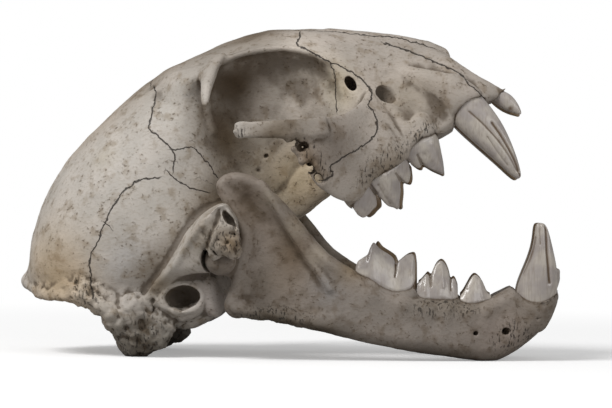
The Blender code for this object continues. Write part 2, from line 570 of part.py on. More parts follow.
UPPER_POINTS = {
    "upper_incisor_1": (6, [(86.6, 1.6, -3.0, 1.2, 0.7), (87.8, 1.6, -6.0, 1.4, 0.8),
                            (88.7, 1.6, -8.6, 1.1, 1.0), (89.1, 1.6, -10.0, 0.4, 0.8)]),
    "upper_incisor_2": (6, [(86.4, 4.6, -3.0, 1.3, 0.8), (87.6, 4.6, -6.0, 1.6, 1.0),
                            (88.6, 4.7, -9.0, 1.2, 1.1), (89.0, 4.7, -10.6, 0.4, 0.8)]),
    "upper_incisor_3": (6, [(85.6, 8.0, -1.6, 1.6, 1.3), (87.0, 8.2, -4.8, 2.4, 1.7),
                            (88.4, 8.5, -8.0, 2.1, 1.5), (89.2, 8.8, -10.6, 1.2, 1.0),
                            (89.5, 9.0, -12.2, 0.4, 0.4)]),
    "upper_canine": (8, [(75.0, 16.0, 4.0, 3.6, 2.4), (77.3, 16.2, -1.0, 5.0, 3.4),
                         (78.1, 16.5, -5.0, 5.2, 3.8), (78.6, 16.8, -9.0, 4.6, 3.5),
                         (78.9, 17.1, -13.5, 3.8, 3.0), (79.1, 17.3, -18.0, 2.8, 2.3),
                         (79.3, 17.4, -22.5, 1.8, 1.5), (79.3, 17.4, -25.3, 0.9, 0.8),
                         (79.2, 17.4, -26.5, 0.3, 0.3)]),
    "upper_molar_1": (6, [(38.6, 23.0, -3.6, 1.0, 1.6), (38.2, 23.0, -6.4, 1.4, 2.4),
                          (38.0, 23.0, -8.0, 0.8, 1.6)]),
}
LOWER_POINTS = {
    "lower_incisor_1": (6, [(88.9, 1.3, -11.6, 0.9, 0.5), (90.2, 1.3, -8.6, 1.1, 0.6),
                            (91.2, 1.3, -6.0, 1.0, 0.8), (91.5, 1.3, -4.6, 0.4, 0.7)]),
    "lower_incisor_2": (6, [(88.7, 3.1, -11.4, 0.9, 0.5), (90.0, 3.1, -8.2, 1.2, 0.6),
                            (91.1, 3.2, -5.4, 1.1, 0.8), (91.4, 3.2, -3.8, 0.4, 0.7)]),
    "lower_incisor_3": (6, [(88.0, 4.9, -11.0, 1.0, 0.6), (89.4, 5.0, -7.6, 1.4, 0.7),
                            (90.8, 5.1, -4.6, 1.3, 0.9), (91.2, 5.1, -2.8, 0.5, 0.8)]),
    "lower_canine": (8, [(82.4, 8.6, -18.0, 3.8, 2.6), (84.3, 9.0, -13.0, 5.0, 3.4),
                         (85.2, 9.4, -9.0, 5.5, 3.6), (86.0, 9.9, -5.0, 4.7, 3.3),
                         (86.9, 10.5, -0.6, 3.6, 2.7), (87.1, 11.0, 3.6, 2.6, 2.1),
                         (86.8, 11.3, 7.2, 1.7, 1.5), (86.4, 11.5, 9.2, 0.9, 0.8),
                         (86.3, 11.5, 10.0, 0.3, 0.3)]),
}


def grown(form):
    """A copy of the form with its faces GAP further out."""
    wider = form.copy()
    wider.normal_update()
    for vert, was in zip(wider.verts, [v.normal.copy() * v.calc_shell_factor() for v in wider.verts]):
        vert.co += was * GAP
    return wider


sockets = {cranium: [], jaws[RIGHT]: [], jaws[LEFT]: []}


def tooth(name, form, holder):
    """A tooth as its own object, and its socket in the bone that holds it."""
    sockets[holder].append(grown(form))
    made = new_object(name, [form], skull)
    made.data.materials.append(enamel)
    if holder is cranium:
        made.location = cranium.location
        made.rotation_euler = cranium.rotation_euler
    else:
        made.parent = hinge


for side, word in ((RIGHT, "right"), (LEFT, "left")):
    for name, rows in UPPER_BLADES.items():
        tooth(f"{name}_{word}", blade_tooth(side, rows), cranium)
    for name, (sides, path) in UPPER_POINTS.items():
        tooth(f"{name}_{word}", pointed_tooth(side, sides, path), cranium)
    for name, rows in LOWER_BLADES.items():
        tooth(f"{name}_{word}", blade_tooth(side, rows), jaws[side])
    for name, (sides, path) in LOWER_POINTS.items():
        tooth(f"{name}_{word}", pointed_tooth(side, sides, path), jaws[side])


# Openings in the cranium, each a blind hollow: the two joint sockets, the ear holes, the
# nose, the hole for the spinal cord, and the nerve holes under and in front of the eye.

def joint_socket(side):
    """The round trough that the jaw's knuckle turns in."""
    r = CONDYLE_RADIUS + GLENOID_CLEARANCE
    return bar([(0.0, side * (CONDYLE_INNER - 1.2), 0.0, r, r),
                (0.0, side * (CONDYLE_OUTER + 0.9), 0.0, r, r)], sides=20, per_span=1)


bpy.context.view_layer.update()
hollows = []
for side in (RIGHT, LEFT):
    hollows.append(joint_socket(side))
    hollows.append(bar([(-14.6, side * 17.0, -2.0, 3.0, 4.0), (-14.4, side * 24.0, -2.1, 3.2, 4.2),
                        (-14.2, side * 32.0, -2.2, 4.0, 5.2)], sides=12, per_span=1))
    hollows.append(bar([(68.0, side * 24.4, 10.2, 2.6, 1.8), (62.0, side * 21.6, 11.8, 2.8, 1.7),
                        (57.0, side * 20.6, 11.2, 2.4, 1.6), (50.0, side * 19.4, 9.6, 2.2, 1.8)],
                       sides=8, per_span=1))
    hollows.append(bar([(52.6, side * 21.6, 22.0, 1.3, 2.4), (56.4, side * 18.2, 19.4, 1.2, 2.2),
                        (59.6, side * 15.0, 17.4, 1.0, 1.8)], sides=8, per_span=1))
hollows.append(bar([(95.0, 0.0, 8.7, 8.4, 9.0), (85.2, 0.0, 4.9, 7.0, 8.3), (77.0, 0.0, 5.6, 6.6, 7.6),
                    (64.0, 0.0, 6.8, 5.0, 5.6)], sides=14, per_span=1))
hollows.append(bar([(-46.0, 0.0, 3.4, 5.6, 6.8), (-37.0, 0.0, 3.4, 5.4, 6.6), (-24.0, 0.0, 5.0, 5.0, 6.0)],
                   sides=12, per_span=1))
cut(cranium, hollows, "hollow")
cut(cranium, sockets[cranium], "upper_socket")
for side, word in ((RIGHT, "right"), (LEFT, "left")):
    cut(jaws[side], sockets[jaws[side]], f"lower_socket_{word}")


# Flats: the skull stands on the floor at Z = 0 with its chin and the lumps behind its ears

floor = new_object("floor", [loft([[(-90.0, y, -6.0), (90.0, y, -6.0), (90.0, y, 0.0), (-90.0, y, 0.0)]
                                   for y in (-60.0, 60.0)])], cutters)
floor.display_type = "WIRE"
floor.hide_render = True
for bone_piece in (cranium, jaws[RIGHT], jaws[LEFT]):
    flat = bone_piece.modifiers.new("flat", "BOOLEAN")
    flat.operation = "DIFFERENCE"
    flat.object = floor
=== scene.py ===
import math

import bpy
import numpy as np
from mathutils import Matrix, Vector, kdtree, noise


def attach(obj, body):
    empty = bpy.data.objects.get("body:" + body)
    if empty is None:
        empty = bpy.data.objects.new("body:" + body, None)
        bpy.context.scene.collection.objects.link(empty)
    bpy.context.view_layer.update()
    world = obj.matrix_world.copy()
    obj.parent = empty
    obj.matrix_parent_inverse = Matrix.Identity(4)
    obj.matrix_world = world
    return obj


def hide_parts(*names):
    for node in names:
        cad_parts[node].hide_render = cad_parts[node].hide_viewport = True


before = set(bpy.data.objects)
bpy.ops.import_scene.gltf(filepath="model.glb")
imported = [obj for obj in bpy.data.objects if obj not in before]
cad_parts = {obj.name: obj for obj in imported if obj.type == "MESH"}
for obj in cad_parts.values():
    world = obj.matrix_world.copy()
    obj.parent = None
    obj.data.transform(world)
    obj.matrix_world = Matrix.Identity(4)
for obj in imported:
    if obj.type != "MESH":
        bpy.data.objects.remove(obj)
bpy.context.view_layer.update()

bpy.ops.object.select_all(action="DESELECT")

# Canines. Four long curved teeth of solid dentine under glossy enamel, with grooves down their
# outer sides that old dirt has browned. Each is drawn in millimetres round the jaw hinge, a
# forward, w to the left and d to the top of the head, and then set down where it belongs.

RIGHT, LEFT = -1, 1
SIDE_NAMES = {RIGHT: "right", LEFT: "left"}
HINGE = Vector((-0.0172, -0.0017, 0.0269))
head_place, jaw_place = (Matrix.Translation(HINGE) @ Matrix.Rotation(math.radians(-tilt), 4, "Y")
                         @ Matrix.Scale(0.001, 4) for tilt in (34.8, 0.8))


class Maths:
    """A shader socket that Python's own operators work on."""

    def __init__(self, tree, socket):
        self.tree = tree
        self.socket = socket

    def node(self, kind, settings=None, values=None, output=0):
        """A new node with its settings made and its sockets filled or linked."""
        made = self.tree.nodes.new(kind)
        for name, setting in (settings or {}).items():
            setattr(made, name, setting)
        for name, value in (values or {}).items():
            if isinstance(value, Maths):
                self.tree.links.new(value.socket, made.inputs[name])
            else:
                made.inputs[name].default_value = value
        return Maths(self.tree, made.outputs[output])

    def sum(self, operation, one, two=0.0, clamp=False):
        return self.node("ShaderNodeMath", {"operation": operation, "use_clamp": clamp}, {0: one, 1: two})

    def __add__(self, other):
        return self.sum("ADD", self, other)

    def __sub__(self, other):
        return self.sum("SUBTRACT", self, other)

    def __mul__(self, other):
        return self.sum("MULTIPLY", self, other)

    def __rsub__(self, other):
        return self.sum("SUBTRACT", other, self)

    def __abs__(self):
        return self.sum("ABSOLUTE", self)

    __radd__ = __add__
    __rmul__ = __mul__

    def over(self, low, high):
        """0 below low, 1 above high, smooth between."""
        return self.node("ShaderNodeMapRange", {"interpolation_type": "SMOOTHSTEP"},
                         {"Value": self, "From Min": low, "From Max": high})

    def kept(self):
        """The value held between 0 and 1."""
        return self.sum("ADD", self, 0.0, clamp=True)

    def blend(self, one, two):
        """Colour one where the value is 0, colour two where it is 1."""
        return self.node("ShaderNodeMix", {"data_type": "RGBA"},
                         {"Factor": self, "A": one, "B": two}, "Result")

    def drawn(self, name):
        """A value stored on the points of the piece."""
        return self.node("ShaderNodeAttribute", {"attribute_name": name}, output="Fac")

    def grain(self, where, size, detail=3.0, stretch=(1.0, 1.0, 1.0), tilt=0.0):
        """Noise from 0 to 1 with marks of about size millimetres."""
        placed = self.node("ShaderNodeMapping", values={
            "Vector": where, "Scale": [1000.0 / size / s for s in stretch], "Rotation": (0.0, tilt, 0.0)})
        return self.node("ShaderNodeTexNoise", values={"Vector": placed, "Scale": 1.0, "Detail": detail})


def new_finish(name):
    """A new material, its shader's node, and a start for its maths with the places on the piece."""
    finish = bpy.data.materials.new(name)
    finish.use_nodes = True
    shader = finish.node_tree.nodes["Principled BSDF"]
    start = Maths(finish.node_tree, None)
    where = start.node("ShaderNodeTexCoord", output="Object")
    return finish, shader, start, where


def colour(red, green, blue):
    return (red, green, blue, 1.0)


enamel, shader, start, where = new_finish("tooth_enamel")
streaks = start.grain(where, 0.5, stretch=(1.0, 1.0, 9.0))
clouds = start.grain(where, 4.0, detail=2.0)
pale = clouds.over(0.3, 0.7).blend(colour(0.44, 0.395, 0.37), colour(0.60, 0.545, 0.475))
pale = (streaks.over(0.45, 0.75) * 0.5).blend(pale, colour(0.34, 0.28, 0.23))
amber = start.drawn("amber").over(0.25, 0.9)
stain = (start.drawn("stain") * (0.75 + streaks * 0.5)).over(0.15, 0.85)
body = (amber * 0.8).blend(pale, colour(0.30, 0.185, 0.08))
body = (stain * 0.92).blend(body, colour(0.115, 0.062, 0.024))
# painted shade: the tooth's hollows darkened towards brown
hollow = start.drawn("hollow").over(0.1, 0.9)
body = (hollow * 0.55).blend(body, colour(0.13, 0.085, 0.045))
links = enamel.node_tree.links
links.new(body.socket, shader.inputs["Base Color"])
links.new((0.18 + clouds * 0.14 + stain * 0.3).socket, shader.inputs["Roughness"])
raised = start.node("ShaderNodeBump", values={"Strength": 0.16, "Distance": 0.0001,
                                              "Height": streaks * 0.6 + clouds * 0.6})
links.new(raised.socket, shader.inputs["Normal"])
shader.inputs["IOR"].default_value = 1.52
shader.inputs["Specular IOR Level"].default_value = 0.5
shader.inputs["Coat Weight"].default_value = 0.3
shader.inputs["Coat Roughness"].default_value = 0.15


def through(points, per_span, closed=False):
    """A smooth curve through the points, with per_span steps between each two."""
    pts = np.asarray(points, float)
    count = len(pts)
    curve = []
    for i in range(count if closed else count - 1):
        if closed:
            p0, p1, p2, p3 = (pts[(i + k) % count] for k in (-1, 0, 1, 2))
        else:
            p0, p1, p2, p3 = (pts[min(max(i + k, 0), count - 1)] for k in (-1, 0, 1, 2))
        for step in range(per_span):
            t = step / per_span
            curve.append(0.5 * (2 * p1 + (p2 - p0) * t + (2 * p0 - 5 * p1 + 4 * p2 - p3) * t ** 2
                                + (3 * p1 - p0 - 3 * p2 + p3) * t ** 3))
    if not closed:
        curve.append(pts[-1])
    return np.array(curve)


def points_of(thing):
    """The places and the outward directions of the skin's points."""
    count = len(thing.data.vertices)
    places, outward = np.empty(count * 3), np.empty(count * 3)
    thing.data.vertices.foreach_get("co", places)
    thing.data.vertex_normals.foreach_get("vector", outward)
    return places.reshape(-1, 3), outward.reshape(-1, 3)


def move_points(thing, places):
    """Put the skin's points at these places."""
    thing.data.vertices.foreach_set("co", places.reshape(-1))
    thing.data.update()


def beside(flat, line):
    """Distance from flat points to a line, signed by side, and how far past its ends they are."""
    line = np.asarray(line, float)
    nearest = np.full(len(flat), 99.0)
    signed = np.full(len(flat), 99.0)
    past = np.zeros(len(flat))
    for i, (start_point, end_point) in enumerate(zip(line, line[1:])):
        run = end_point - start_point
        length = math.hypot(*run)
        if length < 1e-6:
            continue
        t = (flat - start_point) @ run / length ** 2
        off = flat - start_point - np.clip(t, 0.0, 1.0)[:, None] * run
        away = np.hypot(off[:, 0], off[:, 1])
        closer = away < nearest
        over = np.zeros(len(flat))
        if i == 0:
            over = np.maximum(over, -t * length)
        if i == len(line) - 2:
            over = np.maximum(over, (t - 1.0) * length)
        nearest = np.where(closer, away, nearest)
        signed = np.where(closer, away * np.sign(run[0] * off[:, 1] - run[1] * off[:, 0]), signed)
        past = np.where(closer, over, past)
    return signed, past


def ridge(places, line, wide, axes=(0, 2)):
    """1 along a line drawn in two of the three directions, 0 away from it."""
    signed, past = beside(places[:, axes], through(line, 4))
    return np.exp(-(signed / wide) ** 2) * np.clip(1.0 - past / (2.0 * wide), 0.0, 1.0)


def spot(places, centre, radii):
    """1 at the centre of a soft oval patch, 0 outside it."""
    return np.exp(-(((places - centre) / radii) ** 2).sum(axis=1))


def store(thing, name, values):
    """Keep one value for each point on the piece."""
    kept = thing.data.attributes.get(name) or thing.data.attributes.new(name, "FLOAT", "POINT")
    kept.data.foreach_set("value", np.asarray(values, np.float32))


def hollows_of(thing, rounds):
    """How far each point lies below the skin's own average round it, in millimetres."""
    places, outward = points_of(thing)
    count = len(thing.data.edges)
    ends = np.empty(count * 2, np.int64)
    thing.data.edges.foreach_get("vertices", ends)
    one, two = ends.reshape(-1, 2).T
    share = np.bincount(np.concatenate([one, two]), minlength=len(places)).clip(1)[:, None]
    eased = places.copy()
    for _ in range(rounds):
        total = np.zeros_like(eased)
        for k in range(3):
            total[:, k] = (np.bincount(one, eased[two, k], len(places))
                           + np.bincount(two, eased[one, k], len(places)))
        eased = total / share
    return ((eased - places) * outward).sum(axis=1)


def drawn_out(sides, side, sections, smooth):
    """A spike pulled out of a circle through (a, w, d, half length, half thickness) sections."""
    a, w, d, long, thick = sections[0]
    bpy.ops.mesh.primitive_circle_add(vertices=sides, radius=1.0, fill_type="NGON", location=(a, side * w, d))
    spike = bpy.context.object
    bpy.ops.object.transform_apply(location=True, rotation=True, scale=True)
    bpy.ops.object.mode_set(mode="EDIT")
    bpy.ops.mesh.select_all(action="SELECT")
    bpy.ops.transform.resize(value=(long, thick, 1.0), center_override=(a, side * w, d))
    for before, after in zip(sections, sections[1:]):
        step = [after[0] - before[0], side * (after[1] - before[1]), after[2] - before[2]]
        bpy.ops.mesh.extrude_region_move(TRANSFORM_OT_translate={"value": step})
        bpy.ops.transform.resize(value=(after[3] / before[3], after[4] / before[4], 1.0),
                                 center_override=(after[0], side * after[1], after[2]))
    bpy.ops.mesh.select_all(action="SELECT")
    bpy.ops.mesh.normals_make_consistent(inside=False)
    bpy.ops.object.mode_set(mode="OBJECT")
    finer = spike.modifiers.new("finer", "SUBSURF")
    finer.levels = finer.render_levels = smooth
    bpy.ops.object.modifier_apply(modifier="finer")
    spike.select_set(False)
    return spike


def etch(tooth, side, lines):
    """Press (line, width, height, stain) grooves or ridges into the tooth's outer side."""
    places, outward = points_of(tooth)
    outer = np.clip(outward[:, 1] * side * 2.5, 0.0, 1.0)
    swell, brown = np.zeros(len(places)), np.zeros(len(places))
    for line, wide, high, darkening in lines:
        along = ridge(places, line, wide) * outer
        swell += high * along
        brown = np.maximum(brown, darkening * along)
    move_points(tooth, places + outward * swell[:, None])
    return brown


uppers, lowers = [], []


def finish_tooth(tooth, name, side, brown, root, row, place, body_name):
    """Stain the tooth, keep a copy for its socket, and set it down in place of its CAD node.

    root is how far past the tooth's neck each point lies in millimetres, below 0 on the crown.
    """
    node = f"{name}_{SIDE_NAMES[side]}"
    tooth.name = tooth.data.name = f"tooth_{node}"
    places, outward = points_of(tooth)
    store(tooth, "stain", np.maximum(brown, np.clip((root + 0.5) / 0.9, 0.0, 1.0)))
    store(tooth, "root", root)
    store(tooth, "amber", np.clip(-outward[:, 1] * side * 1.6 - 0.1, 0.0, 1.0))
    # how far each point sinks below the skin round it, which the enamel darkens as painted shade
    store(tooth, "hollow", np.clip(hollows_of(tooth, 12) / 0.12, 0.0, 1.0))
    copy = tooth.copy()
    copy.data = tooth.data.copy()
    row.append(copy)
    tooth.data.transform(place)
    tooth.data.polygons.foreach_set("use_smooth", [True] * len(tooth.data.polygons))
    tooth.data.materials.clear()
    tooth.data.materials.append(enamel)
    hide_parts(node)
    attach(tooth, body_name)


upper_canine = [(76.4, 16.0, 7.0, 3.6, 2.6), (77.0, 16.1, 3.0, 4.6, 3.2), (77.6, 16.3, -1.0, 5.4, 3.6),
                (78.0, 16.5, -5.0, 5.5, 3.9), (78.6, 16.8, -9.0, 5.1, 3.7), (79.0, 17.1, -13.0, 4.5, 3.3),
                (79.2, 17.3, -17.0, 3.6, 2.8), (79.25, 17.4, -21.0, 2.6, 2.1), (79.1, 17.4, -24.2, 1.75, 1.5),
                (79.0, 17.4, -26.0, 1.05, 0.95), (79.0, 17.4, -26.7, 0.5, 0.5)]
upper_canine_lines = [
    ([(77.8, -4.0), (78.8, -7.8), (79.5, -11.8), (80.0, -15.8), (80.1, -20.5), (79.7, -24.6)], 0.40,
     -0.34, 0.6),
    ([(81.3, -10.0), (81.4, -14.0), (81.2, -17.9), (80.8, -21.9), (80.1, -25.0)], 0.42, -0.42, 0.85),
    ([(78.1, -12.3), (78.0, -15.8), (78.0, -19.1), (78.3, -22.0)], 0.36, -0.20, 0.35),
    ([(79.9, -25.0), (79.4, -27.2)], 0.25, -0.35, 0.9)]
lower_canine = [(83.4, 8.4, -20.0, 3.4, 2.4), (84.2, 8.8, -16.0, 4.6, 3.1), (84.9, 9.1, -12.0, 5.5, 3.6),
                (85.5, 9.4, -8.0, 5.8, 3.7), (86.2, 9.9, -4.0, 4.95, 3.4), (86.7, 10.5, -0.6, 3.9, 2.9),
                (86.9, 11.0, 2.8, 2.9, 2.3), (86.85, 11.3, 5.8, 2.25, 1.8), (86.6, 11.5, 8.2, 1.8, 1.4),
                (86.4, 11.5, 9.4, 1.3, 1.0), (86.3, 11.5, 9.9, 0.7, 0.6)]
lower_canine_lines = [
    ([(87.9, 9.0), (88.0, 5.2), (88.1, 1.9), (88.4, -1.7), (88.8, -6.5)], 0.44, -0.46, 0.85),
    ([(86.1, 10.4), (86.0, 7.4), (86.2, 4.0)], 0.30, -0.26, 0.45),
    ([(84.9, 6.0), (84.2, 2.4), (83.0, -1.0), (81.5, -4.0)], 0.5, -0.12, 0.55)]
for side in (RIGHT, LEFT):
    tooth = drawn_out(20, side, upper_canine, 3)
    brown = etch(tooth, side, upper_canine_lines)
    places, outward = points_of(tooth)
    root = places[:, 2] + 1.4 + 0.075 * (places[:, 0] - 79.0) ** 2
    finish_tooth(tooth, "upper_canine", side, brown, root, uppers, head_place, "cranium")
    tooth = drawn_out(20, side, lower_canine, 3)
    brown = etch(tooth, side, lower_canine_lines)
    places, outward = points_of(tooth)
    root = 0.085 * (places[:, 0] - 85.5) ** 2 - 11.9 - places[:, 2]
    finish_tooth(tooth, "lower_canine", side, brown, root, lowers, jaw_place, "mandible")

# Incisors. Six small chisel-edged teeth above and six below, the outermost upper ones pointed
# like small canines. They are set close together in the front of the jaws.

upper_incisors = {
    "upper_incisor_1": [(86.2, 1.6, -2.0, 1.3, 0.75), (87.0, 1.6, -4.2, 1.5, 0.85),
                        (87.9, 1.6, -6.4, 1.65, 0.95),
                        (88.6, 1.6, -8.4, 1.35, 1.15), (89.1, 1.6, -10.0, 0.55, 1.1)],
    "upper_incisor_2": [(86.0, 4.6, -2.0, 1.4, 0.9), (86.9, 4.6, -4.4, 1.7, 1.05),
                        (87.8, 4.65, -6.8, 1.8, 1.2),
                        (88.6, 4.7, -9.0, 1.35, 1.2), (89.0, 4.7, -10.7, 0.5, 0.95)],
    "upper_incisor_3": [(85.4, 8.0, -1.0, 1.7, 1.3), (86.6, 8.1, -3.4, 1.9, 1.5), (87.6, 8.3, -5.6, 2.5, 1.8),
                        (88.2, 8.5, -8.0, 2.35, 1.6), (88.8, 8.7, -10.2, 1.6, 1.15),
                        (89.3, 8.9, -11.7, 0.7, 0.55),
                        (89.4, 9.0, -12.3, 0.3, 0.3)]}
lower_incisors = {
    "lower_incisor_1": [(88.3, 1.3, -12.6, 0.9, 0.55), (89.5, 1.3, -10.0, 1.1, 0.6),
                        (90.5, 1.3, -7.6, 1.2, 0.75),
                        (91.2, 1.3, -5.6, 1.0, 0.9), (91.5, 1.3, -4.5, 0.5, 0.85)],
    "lower_incisor_2": [(88.1, 3.1, -12.4, 0.9, 0.55), (89.3, 3.1, -9.6, 1.2, 0.65),
                        (90.4, 3.15, -7.0, 1.3, 0.8),
                        (91.1, 3.2, -4.8, 1.0, 0.95), (91.4, 3.2, -3.7, 0.5, 0.85)],
    "lower_incisor_3": [(87.4, 4.9, -12.0, 1.0, 0.65), (88.8, 4.95, -9.0, 1.4, 0.75),
                        (90.0, 5.05, -6.2, 1.5, 0.9),
                        (90.9, 5.1, -4.0, 1.2, 1.0), (91.2, 5.1, -2.7, 0.6, 0.9)]}
for side in (RIGHT, LEFT):
    for name, sections in upper_incisors.items():
        tooth = drawn_out(16, side, sections, 2 if name[-1] != "3" else 3)
        places, outward = points_of(tooth)
        worn = 0.7 * spot(places * (1, 0, 1), (88.0, 0.0, -9.4), (1.0, 9.0, 0.9))
        finish_tooth(tooth, name, side, worn, places[:, 2] + 4.3, uppers, head_place, "cranium")
    for name, sections in lower_incisors.items():
        tooth = drawn_out(16, side, sections, 2)
        places, outward = points_of(tooth)
        finish_tooth(tooth, name, side, np.zeros(len(places)), -8.8 - places[:, 2], lowers,
                     jaw_place, "mandible")

# Cheek teeth. Blades that pass each other like scissors, the last premolar above and the molar
# below the largest. The upper blades lean inwards at their edges and are hollow on their faces.


def skin(rings):
    """A closed surface over rings of equal length."""
    rings = np.array([np.array(ring, float) for ring in rings])
    rows, around = rings.shape[:2]
    faces = [[r * around + i, r * around + (i + 1) % around, (r + 1) * around + (i + 1) % around,
              (r + 1) * around + i] for r in range(rows - 1) for i in range(around)]
    faces += [list(range(around))[::-1], [(rows - 1) * around + i for i in range(around)]]
    mesh = bpy.data.meshes.new("form")
    mesh.from_pydata([tuple(p) for p in rings.reshape(-1, 3)], [], faces)
    thing = bpy.data.objects.new("form", mesh)
    bpy.context.collection.objects.link(thing)
    bpy.context.view_layer.objects.active = thing
    thing.select_set(True)
    bpy.ops.object.mode_set(mode="EDIT")
    bpy.ops.mesh.select_all(action="SELECT")
    bpy.ops.mesh.normals_make_consistent(inside=False)
    bpy.ops.object.mode_set(mode="OBJECT")
    thing.select_set(False)
    return thing


def swelling(centre, radii, yaw=0.0, pitch=0.0):
    """A rounded lump, turned about d by yaw and about w by pitch."""
    turn = (Matrix.Rotation(math.radians(yaw), 3, "Z") @ Matrix.Rotation(math.radians(pitch), 3, "Y"))
    bpy.ops.mesh.primitive_uv_sphere_add(segments=28, ring_count=16, radius=1.0, location=centre,
                                         rotation=turn.to_euler(), scale=radii)
    thing = bpy.context.object
    thing.select_set(False)
    return thing


def soften(thing, times):
    """Round the skin a little."""
    if times:
        rub = thing.modifiers.new("rub", "SMOOTH")
        rub.factor = 0.5
        rub.iterations = times
        bpy.context.view_layer.objects.active = thing
        bpy.ops.object.modifier_apply(modifier="rub")


def fused(name, forms, voxel, smoothing):
    """The forms joined and grown together into one skin."""
    bpy.ops.object.select_all(action="DESELECT")
    for form in forms:
        form.select_set(True)
    bpy.context.view_layer.objects.active = forms[0]
    if len(forms) > 1:
        bpy.ops.object.join()
    thing = bpy.context.object
    thing.name = thing.data.name = name
    bpy.ops.object.transform_apply(location=True, rotation=True, scale=True)
    thing.data.remesh_voxel_size = voxel
    bpy.ops.object.voxel_remesh()
    soften(thing, smoothing)
    thing.select_set(False)
    return thing


# how thick a blade is from its cutting edge, 1, to its neck, 0, and how thick its root is
BLADE_FACE = [(1.0, 0.07), (0.94, 0.26), (0.78, 0.50), (0.55, 0.76), (0.30, 0.95), (0.08, 1.06)]
BLADE_ROOT = [(0.7, 0.97), (2.2, 0.86), (4.0, 0.66), (5.6, 0.36)]


def blade(side, rows, lean):
    """A tooth with a cutting edge, through (a, w, neck, edge, half thickness) sections."""
    rings = []
    for a, w, neck, edge, thick in through(rows, 5):
        tall = edge - neck
        deep = -math.copysign(1.0, tall)
        half = [(thick * wide, neck + tall * s, -lean * abs(tall) * s) for s, wide in BLADE_FACE]
        half += [(thick * wide, neck + deep * below, 0.0) for below, wide in BLADE_ROOT]
        outer = [(a, side * (w + x + shift), d) for x, d, shift in half]
        inner = [(a, side * (w - x + shift), d) for x, d, shift in half[::-1]]
        rings.append(outer + inner)
    return skin(rings)


# sections (a, w, neck, edge, half thickness), lean, lumps (place, radii), and marks on the
# outer face (line, width, height, stain)
upper_blades = {
    "upper_premolar_4": (
        [(37.2, 27.2, -8.6, -10.6, 1.2), (38.0, 27.1, -7.6, -12.0, 1.8), (39.6, 26.9, -7.0, -12.1, 2.3),
         (41.2, 26.7, -6.4, -11.7, 2.4), (42.8, 26.4, -5.7, -11.3, 2.4), (43.8, 26.2, -5.3, -9.6, 2.3),
         (44.5, 26.0, -5.1, -8.4, 2.3), (45.1, 25.9, -5.0, -12.6, 2.5), (46.2, 25.7, -4.9, -14.2, 2.8),
         (47.2, 25.5, -4.9, -15.1, 2.9), (48.4, 25.2, -5.1, -13.9, 3.0), (50.2, 24.8, -5.3, -11.8, 2.9),
         (51.7, 24.4, -5.4, -9.5, 2.7), (52.4, 24.2, -5.4, -10.2, 2.5), (53.3, 23.9, -5.3, -10.9, 2.3),
         (54.6, 23.5, -5.1, -9.9, 1.9), (55.6, 23.2, -5.0, -8.2, 1.5), (56.3, 23.0, -5.0, -6.8, 1.0)],
        0.20, [((53.6, 20.9, -6.6), (2.0, 1.9, 2.6))],
        [([(47.1, -15.2), (48.0, -12.0), (48.9, -8.0), (49.4, -5.6)], 0.7, 0.35, 0.0),
         ([(44.5, -5.6), (44.6, -9.0)], 0.5, -0.35, 0.35),
         ([(45.9, -13.0), (46.2, -9.5), (46.4, -7.0)], 0.9, -0.40, 0.0),
         ([(52.2, -10.6), (52.1, -7.0)], 0.45, -0.30, 0.3)]),
    "upper_premolar_3": (
        [(56.6, 21.0, -5.0, -6.4, 1.0), (57.4, 20.9, -4.3, -8.6, 1.6), (58.3, 20.7, -3.9, -9.3, 2.0),
         (59.2, 20.6, -3.6, -8.9, 2.2), (60.2, 20.4, -3.3, -10.9, 2.4), (61.4, 20.1, -3.2, -12.9, 2.5),
         (62.4, 19.9, -3.2, -14.0, 2.5), (63.4, 19.7, -3.3, -13.0, 2.4), (64.6, 19.4, -3.6, -10.8, 2.2),
         (65.8, 19.1, -3.9, -8.0, 1.9), (66.8, 18.9, -3.9, -5.6, 1.3)],
        0.16, [],
        [([(62.4, -14.2), (63.5, -10.0), (64.4, -5.6)], 0.6, 0.30, 0.0),
         ([(59.1, -9.2), (59.6, -6.0)], 0.4, -0.30, 0.3),
         ([(61.4, -11.0), (61.6, -7.0)], 1.0, -0.25, 0.0)])}
